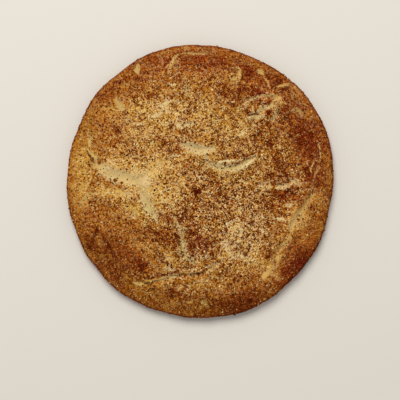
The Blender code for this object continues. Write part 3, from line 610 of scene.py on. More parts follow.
class CookieGrains(bpy.types.PropertyGroup):
    """Numbers and sizes of the grains on the crust."""

    cinnamon_count: number("Cinnamon sugar", "Grains of browned cinnamon sugar", 14000)
    cinnamon_size: length("Cinnamon sugar size", "Across a typical grain", 0.33 * MM)
    sugar_count: number("Pale sugar", "Sugar crystals that stayed pale", 11000)
    sugar_size: length("Pale sugar size", "Across a typical crystal", 0.32 * MM)
    dark_count: number("Dark specks", "Nearly black specks of cinnamon", 2300)
    dark_size: length("Dark speck size", "Across a typical speck", 0.35 * MM)


class CookieStage(bpy.types.PropertyGroup):
    """The floor, the light and the camera."""

    floor_size: length("Floor size", "From side to side of the square floor", 4.0)
    floor_colour: colour("Floor", "Colour of the floor", 0.73, 0.69, 0.63)
    window_size: length("Window size", "Across the broad soft light from beyond the cookie", 0.5)
    window_colour: colour("Window colour", "Colour of that light", 1.0, 0.985, 0.95)
    window_power: bpy.props.FloatProperty(
        name="Window power", description="Power of that light", default=5.6, min=0.0, unit="POWER")
    window_place: bpy.props.FloatVectorProperty(
        name="Window place", description="Where that light hangs, turned to the cookie",
        default=(-0.12, 0.45, 0.72), size=3, subtype="TRANSLATION", unit="LENGTH")
    room_light: bpy.props.FloatProperty(
        name="Room light", description="Strength of the even light from all round",
        default=0.46, min=0.0)
    room_colour: colour("Room colour", "Colour of the even light", 1.0, 0.985, 0.955)
    camera_height: length("Camera height", "Of the camera above the floor", 0.45)
    frame_width: length("Frame width", "From side to side of the view, at the rim", 140.2 * MM)
    frame_shift: bpy.props.FloatProperty(
        name="Frame shift", description="How far the view's middle lies below the cookie's middle",
        default=6.5 * MM, unit="LENGTH")


def smooth_step(low, high, values):
    """Rise from 0 at low to 1 at high, level at both ends."""
    share = np.clip((values - low) / (high - low), 0.0, 1.0)
    return share * share * (3.0 - 2.0 * share)


def noise_at(x, y, scale, offset, lean):
    """Smooth noise between -1 and 1, one value for each point, from a slice that leans."""
    u, v = x / scale, y / scale
    w = offset + lean * (u + v)
    return np.array([noise.noise(Vector(place)) for place in zip(u, v, w)])


def layered_noise(x, y, layers, lean=0.6):
    """Several layers of noise together, each a scale, a height and a slice of the noise."""
    total = np.zeros(len(x))
    for scale, height, offset in layers:
        total += height * noise_at(x, y, scale, offset, lean)
    return total


def rim_radius(bearing, mean_radius):
    """Distance in millimetres from the middle to the widest line, by bearing in radians."""
    radius = np.full_like(bearing, mean_radius)
    for count, height, crest in EDGE_LOBES:
        radius += height * np.cos(count * (bearing - math.radians(crest)))
    for crest, height, half_width in EDGE_BUMPS:
        turn = np.angle(np.exp(1j * (bearing - math.radians(crest))))
        radius += height * np.exp(-((turn / math.radians(half_width)) ** 2))
    return radius


class SideProfile:
    """The cookie's section from the top's middle, over the rim, to the base's edge."""

    STEPS = 400
    BEND_REACH = 3.0  # extra skin given to a bend, in millimetres for each radian

    def __init__(self, mean_radius, height):
        down = np.linspace(0.0, math.pi / 2, self.STEPS)
        under = np.linspace(0.0, math.radians(BASE_TURN), self.STEPS // 4)[1:]
        self.share = np.concatenate((np.sin(down) ** (2 / DOME_POWER), np.ones(len(under))))
        turned = (1 - np.cos(under)) / (1 - math.cos(under[-1]))
        self.tuck = np.concatenate((np.zeros(len(down)), BASE_INSET * turned))
        upper = WIDEST_HEIGHT + (height - WIDEST_HEIGHT) * np.cos(down)
        lower = WIDEST_HEIGHT * (1 - np.sin(under) / math.sin(under[-1]))
        self.up = np.concatenate((upper, lower))
        step_out = np.gradient(mean_radius * self.share - self.tuck)
        step_up = np.gradient(self.up)
        length = np.hypot(step_out, step_up)
        tilt = np.unwrap(np.arctan2(step_up, step_out))
        flat = np.cumsum(length) + self.BEND_REACH * np.abs(tilt - tilt[0])
        self.flat = flat - flat[0]
        self.normal_out = -step_up / length
        self.normal_up = step_out / length

    def at(self, reach, values):
        """One of the section's values at each distance along the flat skin."""
        return np.interp(reach, self.flat, values)


def smooth_line(corners):
    """A Catmull-Rom line through a crack's points."""
    corners = np.array([corners[0], *corners, corners[-1]], dtype=float)
    shares = np.arange(LINE_STEPS)[:, None] / LINE_STEPS
    line = []
    for a, b, c, d in zip(corners, corners[1:], corners[2:], corners[3:]):
        curve = 2 * b + (c - a) * shares + (2 * a - 5 * b + 4 * c - d) * shares ** 2
        line.append(0.5 * (curve + (3 * b - a - 3 * c + d) * shares ** 3))
    return np.concatenate((*line, corners[-1:]))


def near_line(x, y, line, margin):
    """Which points lie in the line's box, with a margin round it."""
    low, high = line.min(axis=0) - margin, line.max(axis=0) + margin
    return np.nonzero((x > low[0]) & (x < high[0]) & (y > low[1]) & (y < high[1]))[0]


def gap_to_line(x, y, line):
    """Each point's distance to a line, how far along it that is from 0 to 1, and on which side."""
    gap = np.full(len(x), np.inf)
    along = np.zeros(len(x))
    side = np.ones(len(x))
    steps = len(line) - 1
    for index in range(steps):
        start = line[index]
        run_x, run_y = line[index + 1] - start
        from_x, from_y = x - start[0], y - start[1]
        share = np.clip((from_x * run_x + from_y * run_y) / (run_x ** 2 + run_y ** 2), 0.0, 1.0)
        here = np.hypot(from_x - share * run_x, from_y - share * run_y)
        nearer = here < gap
        gap = np.where(nearer, here, gap)
        along = np.where(nearer, (index + share) / steps, along)
        side = np.where(nearer, np.sign(run_x * from_y - run_y * from_x), side)
    return gap, along, side


def crack_fields(x, y, cracks):
    """The relief that cracks give each point and how deep it lies in them, in millimetres, and
    how bare its dough is. Each crack is a width, a depth, a bareness and its points."""
    cut = np.zeros(len(x))
    lips = np.zeros(len(x))
    bare = np.zeros(len(x))
    for width, depth, bareness, corners in cracks:
        line = smooth_line(corners)
        near = near_line(x, y, line, 0.8 * width * CRACK_REACH[-1])
        gap, along, side = gap_to_line(x[near], y[near], line)
        fullness = CRACK_END + (1 - CRACK_END) * np.sin(math.pi * along) ** CRACK_FULLNESS
        wander = layered_noise(x[near] + SIDE_APART * side, y[near], EDGE_WANDER)
        across = gap / (0.5 * width * fullness * (1 + wander))
        rise = depth * fullness * np.interp(across, CRACK_REACH, CRACK_RISE)
        cut[near] = np.minimum(cut[near], rise)
        lips[near] = np.maximum(lips[near], rise)
        shown = bareness * (0.5 + 0.5 * fullness) * np.interp(across, CRACK_REACH, CRACK_BARE)
        bare[near] = np.maximum(bare[near], shown)
    return lips * (1 - smooth_step(0.0, 0.3, -cut)) + cut, -cut, bare


def flake_rise(x, y):
    """How high the flakes stand at each point, in millimetres."""
    rise = np.zeros(len(x))
    for width, height, corners in FLAKES.values():
        line = smooth_line(corners)
        near = near_line(x, y, line, 2 * width)
        wander = FLAKE_SWAY * layered_noise(x[near], y[near], FLAKE_WANDER)
        gap, along, _ = gap_to_line(x[near] + wander, y[near] + wander, line)
        fullness = np.sin(math.pi * np.clip(along, 0.04, 0.96)) ** 0.5
        ragged = np.clip(1 + layered_noise(x[near], y[near], FLAKE_RAGGED), 0.15, 1.3)
        here = height * fullness * ragged * np.exp(-((2 * gap / width) ** 2))
        rise[near] = np.maximum(rise[near], here)
    return rise


def torn_crust(x, y):
    """Each point's relief, how deep it lies in cracks and how bare it is, and how high its flakes
    and how deep its folds are. All but the bareness are in millimetres."""
    relief, hollow, bareness = crack_fields(x, y, CRACKS.values())
    shallow, deeper, thin = crack_fields(x, y, itertools.chain(*STREAKS.values()))
    folded = [(width, depth, 0.0, line) for width, depth, line in FOLDS]
    crease, folds, _ = crack_fields(x, y, folded)
    relief += shallow * (1 - smooth_step(0.1, 0.6, hollow)) + crease
    hollow += deeper
    # No bare dough shows in a fold, so painted shade keeps it dark
    bareness = np.maximum(bareness, thin) * (1 - smooth_step(0.05, 0.3, folds))
    relief += layered_noise(x, y, SWELLS, lean=0.0) + layered_noise(x, y, ROUGHNESS)
    flakes = flake_rise(x, y)
    relief += flakes
    return relief, hollow, bareness, flakes, folds


def patched(x, y, patches):
    """What a table of soft patches adds up to at each point."""
    total = np.zeros(len(x))
    for middle_x, middle_y, half_length, half_width, turn, strength in patches.values():
        run, rise = math.cos(math.radians(turn)), math.sin(math.radians(turn))
        along = ((x - middle_x) * run + (y - middle_y) * rise) / half_length
        across = ((y - middle_y) * run - (x - middle_x) * rise) / half_width
        total += strength * np.exp(-0.7 * (along ** 2 + across ** 2) ** 1.8)
    return total


def crust_colours(x, y, rim_gap, bareness):
    """Each point's tone, bareness, web, sugar, warmth and mottle.

    Tone runs from 0 where the crust scorched or lies in painted shade to 1 where it stayed pale or
    carries painted light, bareness from 0 to 1 where only dough shows, web from 0 to 1 where pale lines
    show most, sugar from 0 to 1 where grains stuck closest, and warmth from -1 or so where the crust is
    greener to 1 where redder.
    Mottle is the fine part of the tone, which grains gather by.
    """
    warp_x = x + layered_noise(x, y, PATCH_WARP)
    warp_y = y + layered_noise(y, x, PATCH_WARP)
    sugar = np.interp(rim_gap, SUGAR_DISTANCE, SUGAR_COVER)
    sugar = np.clip(sugar + patched(warp_x, warp_y, SUGAR_PATCHES), 0.0, 1.0)
    # Browning by distance from the rim, with painted shade at its very edge
    tone = np.interp(rim_gap, RIM_DISTANCE, RIM_BROWNING_AND_SHADE)
    mottle = (0.4 + 0.6 * sugar) * layered_noise(x, y, MOTTLE)
    # The patches add browning, painted shade and painted light to the tone
    tone += patched(warp_x, warp_y, BROWNING_AND_PAINTED_LIGHT) + mottle
    patches = patched(warp_x, warp_y, BARE_PATCHES)
    patches *= 1 + layered_noise(x, y, BARE_MOTTLE)
    bareness = 1 - (1 - bareness) * (1 - np.clip(patches, 0.0, 1.0))
    # The dark spots, partly painted shade in small holes, darken the tone and hide the bare dough
    for spot_x, spot_y, radius, strength in SPOTS_AND_HOLE_SHADE:
        spot = np.exp(-(np.hypot(x - spot_x, y - spot_y) / radius) ** 3)
        tone -= strength * spot
        bareness *= 1 - spot
    web = np.clip(0.1 + 0.3 * sugar + patched(warp_x, warp_y, WEB_PATCHES), 0.0, 1.0)
    web *= smooth_step(0.15, 0.4, tone)
    warmth = patched(warp_x, warp_y, WARMTH_PATCHES) + layered_noise(x, y, WARMTH_WANDER)
    return {"tone": tone, "bareness": bareness, "web": web, "sugar": sugar, "warmth": warmth,
            "mottle": mottle}


def round_grid(cells):
    """A square grid of points drawn out to a disc of radius 1, row by row."""
    line = np.linspace(-1.0, 1.0, cells + 1)
    u, v = (axis.ravel() for axis in np.meshgrid(line, line))
    wide = np.abs(u) >= np.abs(v)
    ring = np.where(wide, u, v)
    other = np.where(wide, v, u)
    turn = math.pi / 4 * np.divide(other, ring, out=np.zeros_like(ring), where=ring != 0)
    turn = np.where(wide, turn, math.pi / 2 - turn)
    return np.column_stack((ring * np.cos(turn), ring * np.sin(turn)))


def grid_faces(cells):
    """The square faces of that grid, and the points round its edge in order."""
    index = np.arange((cells + 1) ** 2).reshape(cells + 1, cells + 1)
    faces = np.stack((index[:-1, :-1], index[:-1, 1:], index[1:, 1:], index[1:, :-1]), axis=-1)
    edge = np.concatenate((index[0, :-1], index[:-1, -1], index[-1, :0:-1], index[:0:-1, 0]))
    return faces.reshape(-1, 4), edge


def finish_piece(piece):
    """Put a finished piece on the cookie's body."""
    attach(piece, BODY)


def new_piece(name, mesh, material):
    """A shown object with that mesh and material."""
    piece = bpy.data.objects.new(name, mesh)
    bpy.context.scene.collection.objects.link(piece)
    mesh.materials.append(material)
    return piece


def store(mesh, name, values):
    """Keep one number for each of the mesh's points, for its material to read."""
    layer = mesh.attributes.new(name, "FLOAT", "POINT")
    layer.data.foreach_set("value", values.astype(np.float32))


def add_layout(mesh, spots):
    """Give the mesh its flat layout, one spot for each corner of its faces."""
    layout = mesh.uv_layers.new(name="OFBake")
    layout.uv.foreach_set("vector", spots.astype(np.float32).ravel())


def face_corners(mesh):
    """The point that each corner of the mesh's faces has."""
    corners = np.empty(len(mesh.loops), dtype=np.int32)
    mesh.loops.foreach_get("vertex_index", corners)
    return corners


class NodeDesk:
    """Lays out a material's nodes and joins them."""

    def __init__(self, name):
        self.material = bpy.data.materials.new(name)
        self.material.use_nodes = True
        self.tree = self.material.node_tree
        self.shader = self.tree.nodes["Principled BSDF"]

    def add(self, kind, settings=None, **inputs):
        """A node with its settings, and its inputs set to values or joined to outputs."""
        made = self.tree.nodes.new(kind)
        for key, value in (settings or {}).items():
            setattr(made, key, value)
        for key, value in inputs.items():
            self.feed(made.inputs[key], value)
        return made

    def feed(self, socket, value):
        """Set a socket to a value, or join it to an output."""
        if isinstance(value, bpy.types.NodeSocket):
            self.tree.links.new(value, socket)
        else:
            socket.default_value = value

    def maths(self, operation, *values, clamp=False):
        """The output of one sum."""
        made = self.tree.nodes.new("ShaderNodeMath")
        made.operation = operation
        made.use_clamp = clamp
        for socket, value in zip(made.inputs, values):
            self.feed(socket, value)
        return made.outputs[0]

    def product(self, value, *factors):
        """The output of a value times each of the factors in turn."""
        for factor in factors:
            value = self.maths("MULTIPLY", value, factor)
        return value

    def rise(self, value, low, high):
        """The output of a smooth rise from 0 at low to 1 at high, or a fall where low is higher."""
        made = self.add("ShaderNodeMapRange", {"interpolation_type": "SMOOTHSTEP"}, Value=value)
        made.inputs["From Min"].default_value = low
        made.inputs["From Max"].default_value = high
        return made.outputs["Result"]

    def cloud(self, place, size, **inputs):
        """The output of a noise with marks of about that many millimetres."""
        made = self.add("ShaderNodeTexNoise", Vector=place, Scale=1 / (size * MM), **inputs)
        return made.outputs["Fac"]

    def lines(self, cloud, wide, narrow):
        """Lines that run where a noise crosses its middle: 0 at wide away from it, 1 at narrow."""
        away = self.maths("ABSOLUTE", self.maths("SUBTRACT", cloud, 0.5))
        return self.rise(away, wide, narrow)

    def ramp(self, value, stops):
        """The output of a colour ramp with these places and colours."""
        made = self.add("ShaderNodeValToRGB", Fac=value)
        elements = made.color_ramp.elements
        for place, _ in stops[2:]:
            elements.new(place)
        for element, (place, shade) in zip(elements, stops):
            element.position = place
            element.color = shade
        return made.outputs["Color"]

    def attribute(self, name):
        """The number that the mesh keeps under that name."""
        return self.add("ShaderNodeAttribute", {"attribute_name": name}).outputs["Fac"]

    def mix_values(self, share, first, second):
        """The output of a mix of two numbers."""
        made = self.add("ShaderNodeMix", {"data_type": "FLOAT"})
        self.feed(made.inputs[0], share)
        self.feed(made.inputs[2], first)
        self.feed(made.inputs[3], second)
        return made.outputs[0]

    def mix(self, share, first, second):
        """The output of a mix of two colours."""
        made = self.add("ShaderNodeMix", {"data_type": "RGBA"})
        self.feed(made.inputs["Factor"], share)
        self.feed(made.inputs["A"], first)
        self.feed(made.inputs["B"], second)
        return made.outputs["Result"]


class CrustDesk(NodeDesk):
    """Lays out baked dough with melted cinnamon sugar: speckled brown, bare and pale in cracks."""

    def __init__(self, colours):
        super().__init__("sugared_crust")
        self.colours = colours
        place = self.add("ShaderNodeTexCoord").outputs["Object"]
        speck = self.add("ShaderNodeTexVoronoi", Vector=place, Scale=1 / (SPECK_SIZE * MM))
        self.from_speck = speck.outputs["Distance"]
        self.tint = self.add("ShaderNodeSeparateColor", Color=speck.outputs["Color"]).outputs
        self.melt = self.cloud(place, MELT_SIZE, Detail=3.0, Roughness=0.7)
        self.bloom = self.cloud(place, BLOOM_SIZE, Detail=2.0)
        self.threads = self.cloud(place, THREAD_SIZE, Detail=3.0, Distortion=0.7)
        self.curls = self.cloud(place, CURL_SIZE, Detail=2.0, Distortion=0.5)
        underside = self.attribute("underside")
        self.tone = self.mix_values(underside, self.attribute("tone"), UNDERSIDE_TONE)
        self.bareness = self.mix_values(underside, self.attribute("bareness"), 0.0)
        self.sugar = self.mix_values(underside, self.attribute("sugar"), UNDERSIDE_SUGAR)

    def by_sugar(self, growth, base):
        """A value that grows with the sugar."""
        return self.maths("MULTIPLY_ADD", self.sugar, growth, base)

    def speckled_crust(self):
        """The crust's colour by its tone, which holds browning and painted light and shade, and its
        dark specks, which are the more the darker that tone is.
        Fine pale curls run through it, and pale threads where the web is."""
        colours = self.colours
        ground = self.maths("SUBTRACT", self.melt, 0.47)
        ground = self.maths("MULTIPLY_ADD", ground, self.by_sugar(1.0, 0.7), self.tone)
        curls = self.lines(self.curls, 0.085, 0.02)
        specks = self.product(
            self.rise(self.maths("SUBTRACT", self.tint["Red"], ground), -0.05, 0.30),
            self.rise(self.from_speck, 0.58, 0.25),
            self.by_sugar(0.65, 0.35),
            self.maths("MULTIPLY_ADD", curls, -0.6, 1.0))
        paler = self.maths("ADD", ground, self.by_sugar(0.03, -0.01))
        paler = self.maths("ADD", paler, self.product(curls, self.by_sugar(0.22, 0.12)))
        toned = self.maths("MULTIPLY_ADD", specks, -1.3, paler, clamp=True)
        # The tone holds browning and painted light and shade, so these colours show both
        crust = self.ramp(toned, (
            (0.0, colours.scorched),
            (0.25, colours.browned),
            (0.50, colours.toasted),
            (0.72, colours.golden),
            (1.0, colours.pale),
        ))
        threads = self.product(
            self.lines(self.threads, 0.045, 0.012),
            self.attribute("web"),
            self.rise(self.melt, 0.38, 0.5),
            0.9)
        return self.mix(threads, crust, colours.dough), specks

    def bare_dough(self):
        """The colour of bare dough: browner where little sugar stuck, as near the rim, and darker in
        blooms, and with painted shade deep in a crack."""
        colours = self.colours
        dough = self.mix(self.rise(self.sugar, 0.35, 0.6), colours.rim_dough, colours.dough)
        deep = self.maths("MULTIPLY_ADD", self.bloom, 1.8, -0.65)
        # Deeper in a crack the dough darkens with painted shade
        deep = self.maths("MULTIPLY_ADD", self.attribute("hollow"), 0.4, deep, clamp=True)
        return self.mix(deep, dough, colours.dough_bloom_and_shade)

    def join_up(self):
        """Join it all to the shader: ragged dough in the crust, stray dark grains, and bumps."""
        crust, specks = self.speckled_crust()
        ragged = self.maths("MULTIPLY_ADD", self.melt, 1.2, -0.6)
        ragged = self.maths("ADD", self.bareness, ragged)
        ragged = self.maths("MULTIPLY_ADD", specks, -0.25, ragged)
        skin = self.mix(self.rise(ragged, 0.25, 0.75), crust, self.bare_dough())
        stray = self.product(
            self.rise(self.tint["Blue"], 0.90, 0.97),
            self.rise(self.from_speck, 0.55, 0.2),
            self.by_sugar(0.7, 0.25))
        skin = self.mix(stray, skin, self.colours.scorched)
        hue = self.maths("MULTIPLY_ADD", self.attribute("warmth"), -0.009, 0.4960)
        skin = self.add("ShaderNodeHueSaturation", Hue=hue, Color=skin).outputs["Color"]
        self.feed(self.shader.inputs["Base Color"], skin)
        lumps = self.maths("ADD", self.product(specks, 0.5), self.product(self.melt, 1.4))
        bump = self.add("ShaderNodeBump", Strength=0.75, Distance=BUMP_HEIGHT * MM, Height=lumps)
        self.feed(self.shader.inputs["Normal"], bump.outputs["Normal"])
        roughness = self.maths("MULTIPLY_ADD", self.tint["Green"], 0.2, 0.7)
        self.feed(self.shader.inputs["Roughness"], roughness)
        self.shader.inputs["Specular IOR Level"].default_value = 0.0
        return self.material


def grain_material(name, stops, roughness, specular=0.0):
    """Grains whose colour runs from grain to grain."""
    desk = NodeDesk(name)
    desk.feed(desk.shader.inputs["Base Color"], desk.ramp(desk.attribute("tone"), stops))
    desk.shader.inputs["Roughness"].default_value = roughness
    desk.shader.inputs["Specular IOR Level"].default_value = specular
    return desk.material


class SNICKERDOODLE_OT_bake_crust(bpy.types.Operator):
    """Make the crust: the whole skin of the cookie with its cracks, its browning and its flat base"""

    bl_idname = "snickerdoodle.bake_crust"
    bl_label = "Bake crust"
    bl_options = {"REGISTER", "UNDO"}

    def execute(self, context):
        form = context.scene.cookie_form
        disc = round_grid(form.cells)
        places, fields = self.stretch_skin(form, disc)
        faces, edge = grid_faces(form.cells)
        mesh = bpy.data.meshes.new(CRUST)
        mesh.from_pydata(places, [], [*faces.tolist(), edge[::-1].tolist()])
        mesh.shade_smooth()
        mesh.set_sharp_from_angle(angle=math.radians(SHARP_ANGLE))
        for name, values in fields.items():
            store(mesh, name, values)
        underside = mesh.attributes.new("underside", "FLOAT", "FACE")
        underside.data[len(faces)].value = 1.0
        self.lay_out(mesh, disc, places, form.mean_radius, len(faces))
        crust = new_piece(CRUST, mesh, CrustDesk(context.scene.cookie_colours).join_up())
        finish_piece(crust)
        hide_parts(NODE)
        return {"FINISHED"}

    def stretch_skin(self, form, disc):
        """Where the skin's points lie in metres, and what its material reads at each."""
        mean_radius = form.mean_radius / MM
        profile = SideProfile(mean_radius, form.height / MM)
        reach = profile.flat[-1] * np.hypot(*disc.T)
        bearing = np.arctan2(disc[:, 1], disc[:, 0])
        rim = rim_radius(bearing, mean_radius)
        out = rim * profile.at(reach, profile.share) - profile.at(reach, profile.tuck)
        up = profile.at(reach, profile.up)
        x, y = out * np.cos(bearing), out * np.sin(bearing)
        relief, hollow, bareness, flakes, folds = torn_crust(x, y)
        relief *= np.clip(up / WIDEST_HEIGHT, 0.0, 1.0)

        upper = reach < profile.flat[profile.STEPS - 1]
        # The side under the widest line counts as lying at the rim, so it takes the darkest tone there:
        # partly browning, partly painted shade of a side turned from the light
        fields = crust_colours(x, y, np.where(upper, rim - out, 0.0), bareness)
        fields["hollow"] = hollow
        # Raised flakes grow paler, partly as a painted highlight, and folds darker with painted shade
        fields["tone"] += FLAKE_TONE_AND_HIGHLIGHT * flakes - FOLD_PAINTED_SHADE * smooth_step(0.05, 0.4, folds)
        side_tone = SIDE_TONE - FOOT_SHADE * smooth_step(FOOT_HEIGHT, 0.0, up)
        fields["tone"] += np.where(upper, 0.0, side_tone)
        fields["bareness"] = np.maximum(fields["bareness"], FLAKE_BARENESS * flakes)

        # The skin is centred, and drawn in where it would leave no room for its grains
        out = out + relief * profile.at(reach, profile.normal_out)
        up = up + relief * profile.at(reach, profile.normal_up)
        places = MM * np.column_stack((out * np.cos(bearing), out * np.sin(bearing), up))
        places[:, :2] -= 0.5 * (places[:, :2].min(axis=0) + places[:, :2].max(axis=0))
        room = np.array(CAD_BOX[1]) - form.sink
        places *= np.minimum(1.0, room / places.max(axis=0))
        return places, fields

    def lay_out(self, mesh, disc, places, mean_radius, face_count):
        """A flat layout of the skin: the top and side as one disc, the base as a smaller one."""
        top_size, base_size = 0.42, 0.15
        corners = face_corners(mesh)
        spots = top_size * (1 + disc[corners])
        base = corners[4 * face_count:]
        spots[4 * face_count:] = 1 - base_size * (1 + places[base, :2] / mean_radius)
        add_layout(mesh, spots)


def crust_spots(count, seed, weigh, gather):
    """Random spots on the crust with the tone and sugar there, by a weight for each face."""
    crust = bpy.data.objects.get(CRUST)
    if crust is None:
        raise RuntimeError("there is no crust yet: bake it before its grains are scattered")
    mesh = crust.data
    face_count = len(mesh.polygons) - 1
    corners = face_corners(mesh)[:4 * face_count].reshape(-1, 4)
    places = np.empty(3 * len(mesh.vertices), dtype=np.float32)
    mesh.vertices.foreach_get("co", places)
    places = places.reshape(-1, 3).astype(float)
    fields = {}
    for name in ("tone", "bareness", "sugar", "mottle"):
        values = np.empty(len(places), dtype=np.float32)
        mesh.attributes[name].data.foreach_get("value", values)
        fields[name] = values[corners].mean(axis=1)
    a, b, c, d = (places[corners[:, index]] for index in range(4))
    normal = np.cross(c - a, d - b)
    area = np.linalg.norm(normal, axis=1)
    normal /= area[:, None]
    weight = area * weigh(fields["tone"], fields["bareness"], fields["sugar"])
    weight *= np.clip(1 + gather * fields["mottle"], *GATHER_LIMITS)
    high = smooth_step(GRAIN_HEIGHTS[0] * MM, GRAIN_HEIGHTS[1] * MM, a[:, 2])
    weight *= high * (STEEP_SHARE + (1 - STEEP_SHARE) * smooth_step(*GRAIN_LEVELS, normal[:, 2]))
    random = np.random.default_rng(seed)
    picked = random.choice(face_count, size=count, p=weight / weight.sum())
    s, t = random.random((2, count, 1))
    spots = ((1 - s) * (1 - t) * a[picked] + s * (1 - t) * b[picked]
             + s * t * c[picked] + (1 - s) * t * d[picked])
    return spots, fields["tone"][picked], fields["sugar"][picked], random


def turned_at_random(random, count):
    """Random turns as an array of matrices."""
    w, x, y, z = random.normal(size=(4, count))
    size = np.sqrt(w * w + x * x + y * y + z * z)
    w, x, y, z = w / size, x / size, y / size, z / size
    return np.stack((
        np.stack((1 - 2 * (y * y + z * z), 2 * (x * y - z * w), 2 * (x * z + y * w)), -1),
        np.stack((2 * (x * y + z * w), 1 - 2 * (x * x + z * z), 2 * (y * z - x * w)), -1),
        np.stack((2 * (x * z - y * w), 2 * (y * z + x * w), 1 - 2 * (x * x + y * y)), -1),
    ), 1)


def block_shape():
    """The points and triangles of a grain's block."""
    bpy.ops.mesh.primitive_cube_add(size=BLOCK_SIDE)
    block = bpy.context.object
    mesh = block.data
    points = np.array([tuple(vert.co) for vert in mesh.vertices])
    mesh.calc_loop_triangles()
    triangles = np.array([tuple(face.vertices) for face in mesh.loop_triangles])
    bpy.data.objects.remove(block)
    bpy.data.meshes.remove(mesh)
    return points, triangles


def scatter(name, count, size, seed, weigh, gather, own_tone, material):
    """One piece of many grains, each a turned, stretched and dented block half sunk in the crust."""
    points, triangles = block_shape()
    spots, tones, sugar, random = crust_spots(count, seed, weigh, gather)
    dents = 1 + random.normal(scale=DENT_SPREAD, size=(count, len(points), 1))
    stretch = 1 + random.normal(scale=STRETCH_SPREAD, size=(count, 1, 3))
    sizes = size * random.lognormal(sigma=SIZE_SPREAD, mean=0.0, size=(count, 1, 1))
    grains = points[None] * dents * stretch * sizes
    grains = np.einsum("nij,npj->npi", turned_at_random(random, count), grains)
    grains += spots[:, None]
    # Grain tones follow the crust's tone, its painted light and shade included
    tone = np.clip(own_tone(tones, sugar, random), 0.02, 0.98)

    inside = ((grains > CAD_BOX[0]) & (grains < CAD_BOX[1])).all(axis=(1, 2))
    grains, tone = grains[inside], tone[inside]
    count = len(grains)
    faces = triangles[None] + len(points) * np.arange(count)[:, None, None]
    mesh = bpy.data.meshes.new(name)
    mesh.from_pydata(grains.reshape(-1, 3), [], faces.reshape(-1, 3).tolist())
    store(mesh, "tone", np.repeat(tone, len(points)))

    # All faces of a grain share one small triangle of the layout, placed by the grain's tone
    corner = 0.002 * np.array(((-1, -1), (1, -1), (0, 1)))
    middle = np.column_stack((tone, np.clip(random.random(count), 0.02, 0.98)))
    add_layout(mesh, np.repeat(middle, len(triangles), axis=0)[:, None] + corner)
    finish_piece(new_piece(name, mesh, material))


def cinnamon_weight(tone, bareness, sugar):
    """Cinnamon sugar lies closest where the crust's tone is dark, and hardly any of it on bare dough.
    """
    return np.clip(1.15 - tone, 0.1, 1.0) * (1.03 - bareness) * (0.4 + sugar)


def cinnamon_tone(tone, sugar, random):
    """It is darker than the crust and more varied, the more so where much sugar stuck."""
    return tone - 0.2 * sugar + (0.08 + 0.16 * sugar) * random.normal(size=len(tone))


def sugar_weight(tone, bareness, sugar):
    """Pale sugar lies closest where the crust's tone is pale, and little of it on bare dough."""
    return np.clip(tone + 0.3, 0.1, 1.0) * (1.1 - bareness) * (0.4 + sugar)


def sugar_tone(tone, sugar, random):
    """It is paler than the crust and more varied, the more so where much sugar stuck."""
    return 1.1 * tone - 0.04 + 0.36 * sugar + (0.09 + 0.24 * sugar) * random.normal(size=len(tone))


def speck_weight(tone, bareness, sugar):
    """Dark specks lie wherever sugar stuck, and few of them on bare dough."""
    return (1.04 - bareness) * (0.1 + sugar)


def speck_tone(tone, sugar, random):
    """They are as dark on pale crust as on brown."""
    return random.random(len(tone))


class SNICKERDOODLE_OT_scatter_cinnamon_sugar(bpy.types.Operator):
    """Scatter grains of browned cinnamon sugar over the crust, few of them on bare dough"""

    bl_idname = "snickerdoodle.scatter_cinnamon_sugar"
    bl_label = "Scatter cinnamon sugar"
    bl_options = {"REGISTER", "UNDO"}

    def execute(self, context):
        grains = context.scene.cookie_grains
        colours = context.scene.cookie_colours
        material = grain_material("cinnamon_sugar", (
            (0.0, colours.cinnamon_dark),
            (0.4, colours.cinnamon_brown),
            (0.75, colours.cinnamon_amber),
            (1.0, colours.cinnamon_gold),
        ), roughness=0.85)
        scatter(
            "cinnamon_sugar", grains.cinnamon_count, grains.cinnamon_size, CINNAMON_SEED,
            cinnamon_weight, -GATHER, cinnamon_tone, material)
        return {"FINISHED"}


class SNICKERDOODLE_OT_scatter_pale_sugar(bpy.types.Operator):
    """Scatter sugar crystals that stayed pale over the crust"""

    bl_idname = "snickerdoodle.scatter_pale_sugar"
    bl_label = "Scatter pale sugar"
    bl_options = {"REGISTER", "UNDO"}

    def execute(self, context):
        grains = context.scene.cookie_grains
        colours = context.scene.cookie_colours
        material = grain_material("pale_sugar", (
            (0.0, colours.sugar_brown),
            (0.5, colours.sugar_amber),
            (1.0, colours.sugar_pale),
        ), roughness=0.65, specular=0.10)
        scatter(
            "pale_sugar", grains.sugar_count, grains.sugar_size, SUGAR_SEED,
            sugar_weight, GATHER, sugar_tone, material)
        return {"FINISHED"}


class SNICKERDOODLE_OT_scatter_dark_specks(bpy.types.Operator):
    """Scatter nearly black specks of cinnamon over the crust"""

    bl_idname = "snickerdoodle.scatter_dark_specks"
    bl_label = "Scatter dark specks"
    bl_options = {"REGISTER", "UNDO"}

    def execute(self, context):
        grains = context.scene.cookie_grains
        colours = context.scene.cookie_colours
        material = grain_material("dark_specks", (
            (0.0, colours.speck_black),
            (1.0, colours.speck_brown),
        ), roughness=0.85)
        scatter(
            "dark_specks", grains.dark_count, grains.dark_size, SPECK_SEED,
            speck_weight, -GATHER, speck_tone, material)
        return {"FINISHED"}


